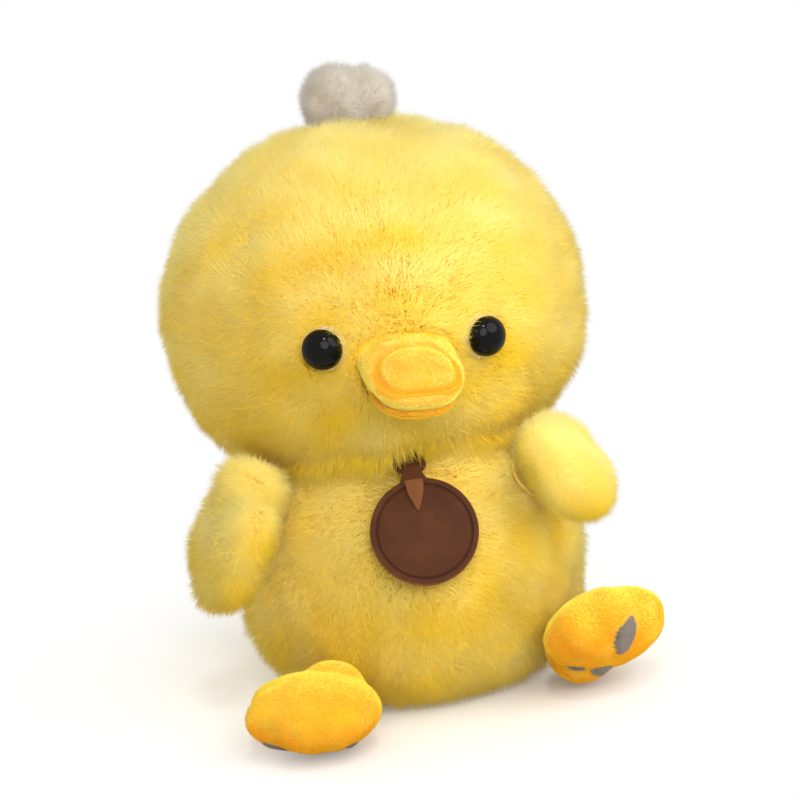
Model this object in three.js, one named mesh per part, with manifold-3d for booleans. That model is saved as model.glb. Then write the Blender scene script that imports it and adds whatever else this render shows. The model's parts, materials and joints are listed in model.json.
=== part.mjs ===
// A seated plush chick with a duck-like bill, a fluffy crown tuft and a leather tag.
// Millimetres, +Z up. The chick faces -Y and its own left is +X.
// The origin is the centre of the flat seat panel that the chick rests on.
import * as THREE from 'three';
import { mergeVertices } from 'three/addons/utils/BufferGeometryUtils.js';
import Module from 'manifold-3d';

const wasm = await Module();
wasm.setup();

// Fits and cloth thicknesses.
const clearance = 0.3;
const weldDistance = 1e-4;
const furPile = 5;
const plushPile = 2.2;
const threadRadius = 0.6;

// Torso: a ball above its widest line, a rounded seat below it.
const bodyRadius = 62;
const bodyCentreHeight = 38;
const torsoTurn = -10;
const seatRadius = 36;
const seatRoundness = 2.2;
const neckOpeningRadius = 26;
const neckSeamRadius = 30;
const pouchRadius = 29;
const pouchHeight = 20;
const pouchEdge = 3;

// Head: a wide ball that sits on the torso and leans back a little.
const headHalfWidth = 76;
const headHalfDepth = 71;
const headHalfHeight = 68;
const headSink = 35.5;
const headLean = 10.4;
const headTurn = -3.5;
const faceRoll = 4.2;
const neckChannel = 2.6;

// Eyes: domes with a stem and a locking washer inside the cover.
const eyeRadius = 7;
const eyeDomeHeight = 5.6;
const eyeSink = 3;
const eyeSpacing = 58;
const eyeRise = 0.3;
const eyeStemRadius = 2.5;
const eyeStemLength = 15;
const washerRadius = 8;
const washerThickness = 3;

// Bill: a padded upper half over a flat lower lip.
const billHalfWidth = 17;
const billHalfDepth = 27;
const billHalfHeight = 9.5;
const billSquareness = 2.7;
const billTilt = 12;
const billDrop = 6;
const lipHalfWidth = 14.3;
const lipHalfDepth = 22;
const lipHalfHeight = 5;
const lipDrop = 7.5;

// Crown tuft: two lobes that rise from a low skirt.
const tuftSetback = 9;
const tuftSkirt = [16, 11, 8];
const tuftSkirtRise = 4;
const tuftLeftLobe = [8.5, 9, 11];
const tuftLeftPlace = [9.5, 7.5];
const tuftRightLobe = [11, 9, 12];
const tuftRightPlace = [-4, 8.5];

// Wings: paddles that follow the curve of the torso below a ball-shaped root.
const wingRootRadius = 13;
const wingHalfLength = 24.5;
const wingHalfWidth = 19.5;
const wingHalfThickness = 12;
const wingFullness = 0.68;
const wingReach = 12;
const wingAzimuth = 29;
const wingBodyGap = 0.3;
const wingHeadGap = 5;
const wingOpeningRadius = 4.5;
const shoulderSeamRadius = 8;
const leftWingRaise = 32;
const leftWingSwing = 62;
const rightWingRaise = 6;
const rightWingSwing = 0;

// Feet: broad padded paddles with three toes each.
const ankleRadius = 13;
const ankleStandOff = 10.5;
const ankleOpeningRadius = 5;
const footHalfLength = 19.5;
const footHalfWidth = 23.5;
const footHalfThickness = 13;
const footReach = 13;
const toeScallop = 0.07;
const toePitch = 52;
const footSquareness = 2.2;
const soleFloorGap = 0.6;
const leftFootAzimuth = 42;
const rightFootAzimuth = 40;
const leftFootLift = 37;
const leftFootRoll = -20;
const leftToeTurn = -26;
const rightToeTurn = -45;

// Grey sole pads: turned from the middle toe by an angle, at a share of the way to the sole's edge.
const padThickness = 0.9;
const frontPad = { turn: 4, reach: 0.56, halfLength: 6.5, halfWidth: 5 };
const heelPad = { turn: -154, reach: 0.4, halfLength: 3, halfWidth: 5 };
const sidePad = { turn: -118, reach: 0.66, halfLength: 2.6, halfWidth: 2.2 };

// Leather tag, hung from a cord loop that is sewn into the neck seam.
const tagRadius = 18.4;
const tagThickness = 2.2;
const tagOffset = 1;
const tagAzimuth = -7;
const tagBodyGap = 0.6;
const tagRingRadius = 15.7;
const tagRingWidth = 0.9;
const tagRingDepth = 0.5;
const strapWidth = 6.6;
const strapThickness = 1.2;
const strapRise = 3.3;
const strapTipWidth = 5;
const strapTipLength = 9;
const strapTipThickness = 0.8;
const hangerRadius = 0.8;
const hangerHalfWidth = 4.9;
const hangerHeadGap = 3.8;
const hangerSeamElevation = 60;
const hangerBend = 0.33;
const barStandOff = 1.6;

// Facet counts, round each shape and along it.
const latheSides = 28;
const ballSides = 24;
const smallSides = 14;
const innerSides = 10;
const billSides = 18;
const lipSides = 16;
const wingSides = 16;
const padSides = 12;
const threadSides = 4;
const cordSides = 8;
const torsoSteps = [4, 6];
const liningSteps = [3, 4];
const domeSteps = 5;
const plugSteps = 3;
const pillowRows = 6;
const billRows = 8;
const wingRows = 8;
const foldSteps = 5;
const cordSteps = 20;

const neckCentre = new THREE.Vector3(0, 0, bodyCentreHeight);
const socketRadius = bodyRadius + neckChannel;
const seatOpening = seatRadius + clearance;
const neckCutFloor = bodyRadius / 2;
const neckCutTop = socketRadius + 2 * furPile;
const radians = THREE.MathUtils.degToRad;

// Materials.
function cloth(colour, roughness) {
  return new THREE.MeshStandardMaterial({ color: colour, roughness, metalness: 0 });
}

const yellowFur = cloth(0xf4cf45, 0.95);
const orangePlush = cloth(0xf3b21c, 0.9);
const whiteFur = cloth(0xd6cdc4, 0.95);
const greyPad = cloth(0x8c8078, 0.85);
const fibreFill = cloth(0xf2f0ea, 1);
const beanCloth = cloth(0xe6e0d2, 0.9);
const yellowThread = cloth(0xdcb23a, 0.8);
const brownLeather = cloth(0x6e4230, 0.6);
const brownCord = cloth(0x5a3626, 0.8);
const blackPlastic = new THREE.MeshStandardMaterial({ color: 0x0b0a0a, roughness: 0.12, metalness: 0 });
const whitePlastic = new THREE.MeshStandardMaterial({ color: 0xe8e6e0, roughness: 0.5, metalness: 0 });

// Solids: closed geometry goes in, is cut or joined, and comes back as geometry.
function asSolid(geometry) {
  const bare = new THREE.BufferGeometry();
  bare.setAttribute('position', geometry.getAttribute('position').clone());
  bare.setIndex(geometry.getIndex());
  const merged = mergeVertices(bare, weldDistance);
  const corners = merged.getIndex().array;
  const kept = [];
  for (let i = 0; i < corners.length; i += 3) {
    const [a, b, c] = [corners[i], corners[i + 1], corners[i + 2]];
    if (a !== b && b !== c && c !== a) {
      kept.push(a, b, c);
    }
  }
  return new wasm.Manifold(new wasm.Mesh({
    numProp: 3,
    vertProperties: merged.getAttribute('position').array,
    triVerts: Uint32Array.from(kept),
  }));
}

function asGeometry(solid) {
  const mesh = solid.getMesh();
  const geometry = new THREE.BufferGeometry();
  geometry.setAttribute('position', new THREE.BufferAttribute(Float32Array.from(mesh.vertProperties), 3));
  geometry.setIndex(new THREE.BufferAttribute(Uint32Array.from(mesh.triVerts), 1));
  geometry.computeVertexNormals();
  return geometry;
}

function join(geometries) {
  return asGeometry(geometries.map(asSolid).reduce((whole, next) => whole.add(next)));
}

function cut(geometry, cutters) {
  return asGeometry(cutters.map(asSolid).reduce((whole, next) => whole.subtract(next), asSolid(geometry)));
}

function overlap(geometry, other) {
  return asGeometry(asSolid(geometry).intersect(asSolid(other)));
}

// A closed surface from at(u, v): u runs once round, v runs from the first pole to the last.
function closedSurface(columns, rows, at) {
  const points = [at(0, 0)];
  for (let row = 1; row < rows; row += 1) {
    for (let column = 0; column < columns; column += 1) {
      points.push(at(column / columns, row / rows));
    }
  }
  const last = points.length;
  points.push(at(0, 1));
  const index = [];
  const ring = (row, column) => 1 + (row - 1) * columns + (column % columns);
  for (let column = 0; column < columns; column += 1) {
    index.push(0, ring(1, column + 1), ring(1, column));
    for (let row = 1; row < rows - 1; row += 1) {
      const a = ring(row, column);
      const b = ring(row, column + 1);
      const c = ring(row + 1, column + 1);
      const d = ring(row + 1, column);
      index.push(a, b, c, a, c, d);
    }
    index.push(ring(rows - 1, column), ring(rows - 1, column + 1), last);
  }
  const geometry = new THREE.BufferGeometry();
  geometry.setFromPoints(points);
  geometry.setIndex(index);
  return geometry;
}

const signedPower = (value, power) => Math.sign(value) * Math.pow(Math.abs(value), power);

// A pillow: a squarish plan in X and Y that swells to a rounded top and bottom.
function pillow(halfX, halfY, halfZ, squareness, columns, rows, planScale = () => 1) {
  return closedSurface(columns, rows, (u, v) => {
    const turn = u * 2 * Math.PI;
    const rise = (v - 0.5) * Math.PI;
    const spread = Math.cos(rise) * planScale(turn);
    return new THREE.Vector3(
      halfX * spread * signedPower(Math.cos(turn), 2 / squareness),
      halfY * spread * signedPower(Math.sin(turn), 2 / squareness),
      halfZ * Math.sin(rise),
    );
  });
}

function ellipsoid(halfX, halfY, halfZ, columns, rows) {
  return pillow(halfX, halfY, halfZ, 2, columns, rows);
}

// A ball-shaped cutter whose flat facets stay outside the given radius.
function hollowBall(radius, columns, rows) {
  const grown = radius / (Math.cos(Math.PI / columns) * Math.cos(Math.PI / (2 * rows)));
  return ellipsoid(grown, grown, grown, columns, rows);
}

// A turned shape from [radius, height] points, bottom to top along its outside.
function turned(profile, sides) {
  const points = profile.map(([radius, height]) => new THREE.Vector2(radius, height));
  return new THREE.LatheGeometry(points, sides).rotateX(Math.PI / 2);
}

function disc(radius, bottom, top, sides) {
  return turned([[0, bottom], [radius, bottom], [radius, top], [0, top]], sides);
}

function seamRing(radius, tube, sides) {
  return new THREE.TorusGeometry(radius, tube, threadSides, sides);
}

// The groove round a seam thread, with room for the flats of both rings.
function seamGroove(radius, sides) {
  const flat = radius * (1 - Math.cos(Math.PI / sides));
  return seamRing(radius, (threadRadius + flat + clearance) / Math.cos(Math.PI / threadSides), sides);
}

function mesh(name, geometry, material) {
  const piece = new THREE.Mesh(geometry, material);
  piece.name = name;
  return piece;
}

function placed(geometry, frame) {
  frame.updateMatrixWorld(true);
  return geometry.clone().applyMatrix4(frame.matrixWorld);
}

// The lowest elevation, seen from the neck centre, at which a ray of this length meets the head.
const headDistance = bodyRadius + headHalfHeight - headSink;
const headCentre = new THREE.Vector3(
  0,
  headDistance * Math.sin(radians(headLean)),
  headDistance * Math.cos(radians(headLean)),
);

function creaseElevation(sideways, forwards, distance) {
  let low = 0;
  let high = Math.PI / 2;
  const halvings = 40;
  for (let i = 0; i < halvings; i += 1) {
    const middle = (low + high) / 2;
    const reach = distance * Math.cos(middle);
    const across = (sideways * reach - headCentre.x) / headHalfWidth;
    const along = (-forwards * reach - headCentre.y) / headHalfDepth;
    const up = (distance * Math.sin(middle) - headCentre.z) / headHalfHeight;
    if (across * across + along * along + up * up > 1) {
      low = middle;
    } else {
      high = middle;
    }
  }
  return low;
}

// Torso outline from the seat opening up to a chosen radius near the neck.
function torsoProfile(inset, seat, topRadius, [lowerSteps, upperSteps]) {
  const radius = bodyRadius - inset;
  const depth = bodyCentreHeight - inset;
  const points = [];
  for (let i = 0; i < lowerSteps; i += 1) {
    const angle = (i / lowerSteps) * (Math.PI / 2);
    const out = Math.pow(Math.sin(angle), 2 / seatRoundness);
    const down = Math.pow(Math.cos(angle), 2 / seatRoundness);
    points.push([seat + (radius - seat) * out, bodyCentreHeight - depth * down]);
  }
  const topAngle = Math.acos(topRadius / radius);
  for (let i = 0; i <= upperSteps; i += 1) {
    const angle = (i / upperSteps) * topAngle;
    points.push([radius * Math.cos(angle), bodyCentreHeight + radius * Math.sin(angle)]);
  }
  return points;
}

function torsoRadiusAt(height) {
  const down = (bodyCentreHeight - height) / bodyCentreHeight;
  const out = Math.pow(1 - Math.pow(down, seatRoundness), 1 / seatRoundness);
  return seatOpening + (bodyRadius - seatOpening) * out;
}

// Limb places: each frame's own Z or X points away from the torso.
const wingPivotDistance = bodyRadius + wingHalfThickness + wingBodyGap;

function wingHeading(side) {
  const ahead = radians(wingAzimuth);
  return (side > 0 ? -ahead : Math.PI + ahead) + radians(torsoTurn);
}

function wingElevation(side) {
  const heading = wingHeading(side);
  const crease = creaseElevation(Math.cos(heading), -Math.sin(heading), wingPivotDistance);
  return crease - Math.asin((wingRootRadius + wingHeadGap) / wingPivotDistance);
}

function wingFrame(side) {
  const frame = new THREE.Group();
  frame.position.copy(neckCentre);
  frame.rotation.set(0, Math.PI / 2 - wingElevation(side), wingHeading(side), 'ZYX');
  return frame;
}

const anklePivotHeight = Math.max(footHalfThickness + padThickness + clearance, ankleRadius) + soleFloorGap;
const anklePivotRadius = torsoRadiusAt(anklePivotHeight) + ankleStandOff;

function ankleFrame(azimuth) {
  const frame = new THREE.Group();
  const heading = radians(azimuth) - Math.PI / 2;
  frame.position.set(
    anklePivotRadius * Math.cos(heading),
    anklePivotRadius * Math.sin(heading),
    anklePivotHeight,
  );
  frame.rotation.z = heading;
  return frame;
}

const seamDistance = bodyRadius - threadRadius - clearance;
const neckSeamHeight = Math.sqrt(seamDistance ** 2 - neckSeamRadius ** 2);
const shoulderSeamHeight = Math.sqrt(seamDistance ** 2 - shoulderSeamRadius ** 2);

// Torso pieces.
function buildTorso() {
  const torso = new THREE.Group();
  const outside = torsoProfile(0, seatOpening, neckOpeningRadius, torsoSteps);
  const inside = torsoProfile(furPile, seatOpening, neckOpeningRadius, liningSteps).reverse();
  const shell = turned([...outside, ...inside, outside[0]], latheSides);

  const neckGroove = seamGroove(neckSeamRadius, latheSides);
  const cutters = [neckGroove.translate(0, 0, bodyCentreHeight + neckSeamHeight)];
  for (const side of [1, -1]) {
    const dimple = hollowBall(wingRootRadius + clearance, smallSides, smallSides / 2);
    const groove = seamGroove(shoulderSeamRadius, smallSides).translate(0, 0, shoulderSeamHeight);
    cutters.push(placed(dimple.translate(0, 0, wingPivotDistance), wingFrame(side)));
    cutters.push(placed(groove, wingFrame(side)));
  }
  for (const azimuth of [leftFootAzimuth, -rightFootAzimuth]) {
    const dimple = hollowBall(ankleRadius + clearance, smallSides, smallSides / 2);
    cutters.push(placed(dimple, ankleFrame(azimuth)));
  }
  torso.add(mesh('body_cover', cut(shell, cutters), yellowFur));
  torso.add(mesh('seat_panel', disc(seatRadius, 0, furPile, latheSides), yellowFur));

  const fillFloor = furPile + clearance;
  const plugRadius = neckOpeningRadius - clearance;
  const fillSide = torsoProfile(fillFloor, seatRadius, plugRadius, liningSteps);
  const plugAngle = Math.acos(plugRadius / bodyRadius);
  const dome = [];
  for (let i = 0; i <= plugSteps; i += 1) {
    const angle = plugAngle + (i / plugSteps) * (Math.PI / 2 - plugAngle);
    dome.push([
      i === plugSteps ? 0 : bodyRadius * Math.cos(angle),
      bodyCentreHeight + bodyRadius * Math.sin(angle),
    ]);
  }
  const fill = turned([[0, fillFloor], ...fillSide, ...dome], latheSides);
  const nest = pouchShape(clearance).translate(0, 0, fillFloor);
  torso.add(mesh('body_stuffing', cut(fill, [nest]), fibreFill));
  torso.add(mesh('bean_pouch', pouchShape(0).translate(0, 0, fillFloor), beanCloth));
  return torso;
}

// A flat-bottomed bag of beads, larger on every side by the given margin.
function pouchShape(margin) {
  const profile = [[0, -margin], [pouchRadius - pouchEdge + margin, -margin]];
  for (let i = 1; i <= domeSteps; i += 1) {
    const angle = (i / domeSteps) * (Math.PI / 2);
    const radius = i === domeSteps ? 0 : (pouchRadius + margin) * Math.cos(angle);
    profile.push([radius, (pouchHeight + margin) * Math.sin(angle)]);
  }
  return turned(profile, latheSides / 2);
}

// Head pieces, all placed from the neck centre.
function headBall(inset, columns, rows) {
  const ball = ellipsoid(
    headHalfWidth - inset, headHalfDepth - inset, headHalfHeight - inset, columns, rows);
  return ball.translate(headCentre.x, headCentre.y, headCentre.z);
}

function headSurface(across, up) {
  const share = 1 - (across / headHalfWidth) ** 2 - (up / headHalfHeight) ** 2;
  return new THREE.Vector3(across, -headHalfDepth * Math.sqrt(share), up);
}

// A point of the face, which sits on the head with a slight roll.
function facePoint(across, up) {
  const spot = new THREE.Vector2(across, up).rotateAround(new THREE.Vector2(), -radians(faceRoll));
  return headSurface(spot.x, spot.y);
}

function eyeFrame(side) {
  const frame = new THREE.Group();
  const spot = facePoint(side * eyeSpacing / 2, eyeRise);
  const outward = new THREE.Vector3(
    spot.x / headHalfWidth ** 2,
    spot.y / headHalfDepth ** 2,
    spot.z / headHalfHeight ** 2,
  ).normalize();
  frame.quaternion.setFromUnitVectors(new THREE.Vector3(0, 0, 1), outward);
  frame.position.copy(spot).add(headCentre);
  return frame;
}

const washerTop = -furPile - clearance;
const eyeStemEnd = -eyeSink - eyeStemLength;

function eyeShape() {
  const profile = [[0, eyeStemEnd], [eyeStemRadius, eyeStemEnd], [eyeStemRadius, -eyeSink]];
  for (let i = 0; i <= domeSteps; i += 1) {
    const angle = (i / domeSteps) * (Math.PI / 2);
    const radius = i === domeSteps ? 0 : eyeRadius * Math.cos(angle);
    profile.push([radius, -eyeSink + eyeDomeHeight * Math.sin(angle)]);
  }
  return turned(profile, smallSides);
}

function washerShape() {
  const bore = eyeStemRadius + clearance;
  const bottom = washerTop - washerThickness;
  const rim = [[bore, bottom], [washerRadius, bottom], [washerRadius, washerTop], [bore, washerTop]];
  return turned([...rim, rim[0]], smallSides);
}

function billFrame() {
  const frame = new THREE.Group();
  frame.position.copy(facePoint(0, -billDrop)).add(headCentre);
  frame.rotation.set(radians(billTilt), radians(faceRoll), 0, 'YXZ');
  return frame;
}

function billShape(inset) {
  const shape = pillow(
    billHalfWidth - inset, billHalfDepth - inset, billHalfHeight - inset,
    billSquareness, billSides, billRows);
  return placed(shape, billFrame());
}

function lipShape() {
  const shape = pillow(lipHalfWidth, lipHalfDepth, lipHalfHeight, billSquareness, lipSides, pillowRows);
  return placed(shape.translate(0, 0, -lipDrop), billFrame());
}

function buildHead() {
  const head = new THREE.Group();
  head.position.copy(neckCentre);
  head.rotation.z = radians(headTurn);

  const socketBall = (margin) => hollowBall(socketRadius + margin, ballSides, innerSides);
  const hollow = cut(headBall(furPile, ballSides, innerSides), [socketBall(furPile)]);
  const coverCutters = [
    socketBall(0),
    hollow,
    disc(neckOpeningRadius, neckCutFloor, neckCutTop, latheSides),
  ];
  const fillInset = furPile + clearance;
  const fillRound = cut(headBall(fillInset, ballSides, innerSides), [socketBall(fillInset)]);
  const plug = disc(neckOpeningRadius - clearance, neckCutFloor, neckCutTop + furPile, latheSides);
  const fillCutters = [hollowBall(bodyRadius + clearance, ballSides, innerSides)];

  for (const [name, side] of [['left', 1], ['right', -1]]) {
    const frame = eyeFrame(side);
    const recess = disc(eyeRadius + clearance, -eyeSink - clearance, eyeRadius, smallSides);
    const bore = disc(eyeStemRadius + clearance, eyeStemEnd - clearance, 0, smallSides);
    const nestFloor = washerTop - washerThickness - clearance;
    const washerNest = disc(washerRadius + clearance, nestFloor, washerTop + clearance, smallSides);
    coverCutters.push(placed(recess, frame), placed(bore, frame), placed(washerNest, frame));
    fillCutters.push(placed(washerNest, frame), placed(bore, frame));
    frame.add(mesh(`${name}_eye`, eyeShape(), blackPlastic));
    frame.add(mesh(`${name}_eye_washer`, washerShape(), whitePlastic));
    head.add(frame);
  }
  const headOutside = headBall(0, latheSides, latheSides / 2);
  head.add(mesh('head_cover', cut(headOutside, coverCutters), yellowFur));
  head.add(mesh('head_stuffing', cut(join([fillRound, plug]), fillCutters), fibreFill));

  const headSeat = headBall(-clearance, latheSides, latheSides / 2);
  const billOutside = billShape(0);
  const billCover = cut(billOutside, [billShape(plushPile), headSeat]);
  head.add(mesh('upper_bill_cover', billCover, orangePlush));
  const billFill = cut(billShape(plushPile + clearance), [headSeat]);
  head.add(mesh('upper_bill_stuffing', billFill, fibreFill));
  head.add(mesh('lower_bill', cut(lipShape(), [billShape(-clearance), headSeat]), orangePlush));

  const crownHeight = headHalfHeight * Math.sqrt(1 - (tuftSetback / headHalfDepth) ** 2);
  const lobes = [
    ellipsoid(...tuftSkirt, smallSides, pillowRows).translate(0, 0, tuftSkirtRise),
    ellipsoid(...tuftLeftLobe, innerSides, pillowRows).translate(tuftLeftPlace[0], 0, tuftLeftPlace[1]),
    ellipsoid(...tuftRightLobe, innerSides, pillowRows).translate(tuftRightPlace[0], 0, tuftRightPlace[1]),
  ];
  const tuft = join(lobes).translate(0, headCentre.y + tuftSetback, headCentre.z + crownHeight);
  head.add(mesh('crown_tuft', cut(tuft, [headSeat]), whiteFur));
  return head;
}

// Neck seam thread, in its groove round the neck opening.
function buildNeckSeam() {
  const seam = mesh('neck_seam_thread', seamRing(neckSeamRadius, threadRadius, latheSides), yellowThread);
  seam.position.set(0, 0, bodyCentreHeight + neckSeamHeight);
  return seam;
}

// A wing paddle bent round the torso, thinner on every side by the given inset.
function wingPaddle(inset, columns, rows) {
  return closedSurface(columns, rows, (u, v) => {
    const turn = u * 2 * Math.PI;
    const along = wingReach - (wingHalfLength - inset) * Math.cos(v * Math.PI);
    const girth = Math.sin(v * Math.PI) ** wingFullness;
    const lift = (wingHalfThickness - inset) * girth * Math.sin(turn);
    const bend = along / wingPivotDistance;
    const distance = wingPivotDistance + lift;
    return new THREE.Vector3(
      distance * Math.sin(bend),
      (wingHalfWidth - inset) * girth * Math.cos(turn),
      distance * Math.cos(bend) - wingPivotDistance,
    );
  });
}

function wingShape(inset, columns, rows) {
  const rootRadius = wingRootRadius - inset;
  return join([ellipsoid(rootRadius, rootRadius, rootRadius, smallSides, smallSides / 2),
    wingPaddle(inset, columns, rows)]);
}

function buildWing(name, side, raise, swing) {
  const shoulder = wingFrame(side);
  const ring = seamRing(shoulderSeamRadius, threadRadius, smallSides);
  const thread = mesh(`${name}_shoulder_thread`, ring, yellowThread);
  thread.position.z = shoulderSeamHeight;
  shoulder.add(thread);

  const wing = new THREE.Group();
  wing.position.z = wingPivotDistance;
  wing.rotation.set(0, -radians(raise), -side * radians(swing), 'ZYX');
  const opening = disc(wingOpeningRadius, -wingRootRadius - furPile, 0, smallSides);
  const inside = wingShape(furPile, innerSides, innerSides / 2);
  const outside = wingShape(0, wingSides, wingRows);
  wing.add(mesh(`${name}_wing_cover`, cut(outside, [inside, opening]), yellowFur));
  const fill = wingShape(furPile + clearance, innerSides, innerSides / 2);
  wing.add(mesh(`${name}_wing_stuffing`, fill, fibreFill));
  shoulder.add(wing);
  return shoulder;
}

// A foot: ball-shaped ankle and a paddle whose edge swells into toes.
function toeSwell(turn) {
  const waves = 360 / toePitch;
  return 1 + toeScallop * Math.cos(waves * turn) * Math.max(0, Math.cos(turn));
}

function footPaddle(inset, toeTurn, columns, rows) {
  const paddle = pillow(
    footHalfLength - inset, footHalfWidth - inset, footHalfThickness - inset,
    footSquareness, columns, rows, (turn) => toeSwell(turn - radians(toeTurn)));
  return paddle.translate(footReach, 0, 0);
}

function footShape(inset, toeTurn, columns, rows) {
  const radius = ankleRadius - inset;
  return join([ellipsoid(radius, radius, radius, smallSides, smallSides / 2),
    footPaddle(inset, toeTurn, columns, rows)]);
}

function buildFoot(name, azimuth, lift, roll, toeTurn) {
  const ankle = ankleFrame(azimuth);
  const foot = new THREE.Group();
  foot.rotation.set(radians(roll), -radians(lift), 0, 'ZYX');
  const opening = disc(ankleOpeningRadius, 0, ankleRadius + plushPile, smallSides).rotateY(-Math.PI / 2);
  const inside = footShape(plushPile, toeTurn, innerSides, innerSides / 2);
  const outside = footShape(0, toeTurn, latheSides, pillowRows);
  foot.add(mesh(`${name}_foot_cover`, cut(outside, [inside, opening]), orangePlush));
  const fill = footShape(plushPile + clearance, toeTurn, innerSides, innerSides / 2);
  foot.add(mesh(`${name}_foot_stuffing`, fill, fibreFill));

  const padSkin = footShape(-clearance - padThickness, toeTurn, latheSides, pillowRows);
  const padSeat = footShape(-clearance, toeTurn, latheSides, pillowRows);
  const outward = Math.sign(azimuth);
  [frontPad, heelPad, sidePad].forEach((place, i) => {
    const bearing = radians(toeTurn + outward * place.turn);
    const column = new THREE.CylinderGeometry(1, 1, 2 * footHalfThickness, padSides).rotateX(Math.PI / 2);
    column.scale(place.halfLength, place.halfWidth, 1).rotateZ(bearing);
    column.translate(
      footReach + place.reach * footHalfLength * Math.cos(bearing),
      place.reach * footHalfWidth * Math.sin(bearing),
      -footHalfThickness,
    );
    const pad = cut(overlap(padSkin, column), [padSeat]);
    foot.add(mesh(`${name}_sole_pad_${i + 1}`, pad, greyPad));
  });
  ankle.add(foot);
  return ankle;
}

// Tag and hanger: the strap folds over the hanger's bar and its tip comes out on the front.
const strapEyeRadius = hangerRadius + clearance + strapThickness;
const barDistance = bodyRadius + clearance + strapEyeRadius + barStandOff;
const tagSideways = Math.sin(radians(tagAzimuth));
const tagForwards = Math.cos(radians(tagAzimuth));
const barElevation = creaseElevation(tagSideways, tagForwards, barDistance + strapEyeRadius)
  - Math.asin((strapEyeRadius + hangerHeadGap) / barDistance);
const barRise = tagRadius + strapRise;
const barDepth = Math.sqrt(barDistance ** 2 - barRise ** 2);
const tagElevation = barElevation - Math.atan2(barRise, barDepth);
const tagBack = bodyRadius + tagBodyGap;

function tagFrame() {
  const frame = new THREE.Group();
  frame.position.copy(neckCentre);
  frame.rotation.set(Math.PI / 2 - tagElevation, 0, radians(tagAzimuth), 'ZXY');
  return frame;
}

function tagShape() {
  const tagFront = tagBack + tagThickness;
  const plate = disc(tagRadius, tagBack, tagFront, latheSides).translate(tagOffset, 0, 0);
  const ringOuter = tagRingRadius + tagRingWidth;
  const ringFloor = tagFront - tagRingDepth;
  const ringProfile = [
    [tagRingRadius, ringFloor], [ringOuter, ringFloor],
    [ringOuter, tagFront + tagRingDepth], [tagRingRadius, tagFront + tagRingDepth],
  ];
  const ring = turned([...ringProfile, ringProfile[0]], latheSides).translate(tagOffset, 0, 0);

  const fold = new THREE.Shape();
  const strapRoot = tagRadius - strapThickness;
  const middle = tagBack + tagThickness / 2;
  fold.moveTo(strapRoot, middle - strapThickness / 2);
  fold.lineTo(strapRoot, middle + strapThickness / 2);
  fold.lineTo(barRise, barDepth + strapEyeRadius);
  fold.absarc(barRise, barDepth, strapEyeRadius, Math.PI / 2, -Math.PI / 2, true);
  const eye = new THREE.Path();
  eye.absarc(barRise, barDepth, hangerRadius + clearance, 0, 2 * Math.PI, false);
  fold.holes.push(eye);
  const strap = new THREE.ExtrudeGeometry(
    fold, { depth: strapWidth, bevelEnabled: false, curveSegments: foldSteps });
  const turn = new THREE.Matrix4().makeBasis(
    new THREE.Vector3(0, 1, 0), new THREE.Vector3(0, 0, 1), new THREE.Vector3(1, 0, 0));
  strap.applyMatrix4(turn).translate(-strapWidth / 2, 0, 0);

  const arrow = new THREE.Shape();
  const arrowTop = tagRadius - strapThickness;
  arrow.moveTo(-strapTipWidth / 2, arrowTop);
  arrow.lineTo(0, arrowTop - strapTipLength);
  arrow.lineTo(strapTipWidth / 2, arrowTop);
  const tip = new THREE.ExtrudeGeometry(
    arrow, { depth: strapTipThickness + clearance, bevelEnabled: false });
  tip.translate(0, 0, tagFront - clearance);
  return join([cut(plate, [ring]), strap, tip]);
}

function hangerShape() {
  const legDistance = bodyRadius + clearance + hangerRadius;
  const legStart = barElevation - tagElevation + Math.asin((strapEyeRadius + clearance) / barDistance);
  const legEnd = radians(hangerSeamElevation) - tagElevation;
  const onTorso = (side, angle) => new THREE.Vector3(
    side * hangerHalfWidth, legDistance * Math.sin(angle), legDistance * Math.cos(angle));
  const corner = (side) => new THREE.Vector3(side * hangerHalfWidth, barRise, barDepth);
  const inner = (side) => new THREE.Vector3(side * (strapWidth / 2 + clearance), barRise, barDepth);
  const path = new THREE.CurvePath();
  const legTop = (side) => onTorso(side, legEnd);
  const legFoot = (side) => onTorso(side, legStart + (legEnd - legStart) * hangerBend);
  path.add(new THREE.LineCurve3(legTop(-1), legFoot(-1)));
  path.add(new THREE.QuadraticBezierCurve3(legFoot(-1), corner(-1), inner(-1)));
  path.add(new THREE.LineCurve3(inner(-1), inner(1)));
  path.add(new THREE.QuadraticBezierCurve3(inner(1), corner(1), legFoot(1)));
  path.add(new THREE.LineCurve3(legFoot(1), legTop(1)));
  const section = new THREE.Shape();
  section.absarc(0, 0, hangerRadius, 0, 2 * Math.PI, false);
  return new THREE.ExtrudeGeometry(
    section, { steps: cordSteps, extrudePath: path, curveSegments: cordSides / 2, bevelEnabled: false });
}

function buildTag() {
  const frame = tagFrame();
  frame.add(mesh('tag_leather', tagShape(), brownLeather));
  frame.add(mesh('tag_hanger_loop', hangerShape(), brownCord));
  return frame;
}

const chick = new THREE.Group();
chick.add(buildTorso());
chick.add(buildNeckSeam());
chick.add(buildHead());
chick.add(buildWing('left', 1, leftWingRaise, leftWingSwing));
chick.add(buildWing('right', -1, rightWingRaise, rightWingSwing));
chick.add(buildFoot('left', leftFootAzimuth, leftFootLift, leftFootRoll, leftToeTurn));
chick.add(buildFoot('right', -rightFootAzimuth, 0, 0, rightToeTurn));
chick.add(buildTag());

export default chick;
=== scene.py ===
"""Looks of a seated plush chick: deep fur, short plush, a fluffy tuft, glossy eyes and a leather tag.

Shapes are worked out in millimetres and become metres when a mesh is made.
"""

import json
import logging
from collections.abc import Callable
from dataclasses import dataclass
from enum import Enum
from functools import cache

import bmesh
import bpy
import numpy as np
from mathutils import Matrix


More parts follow.
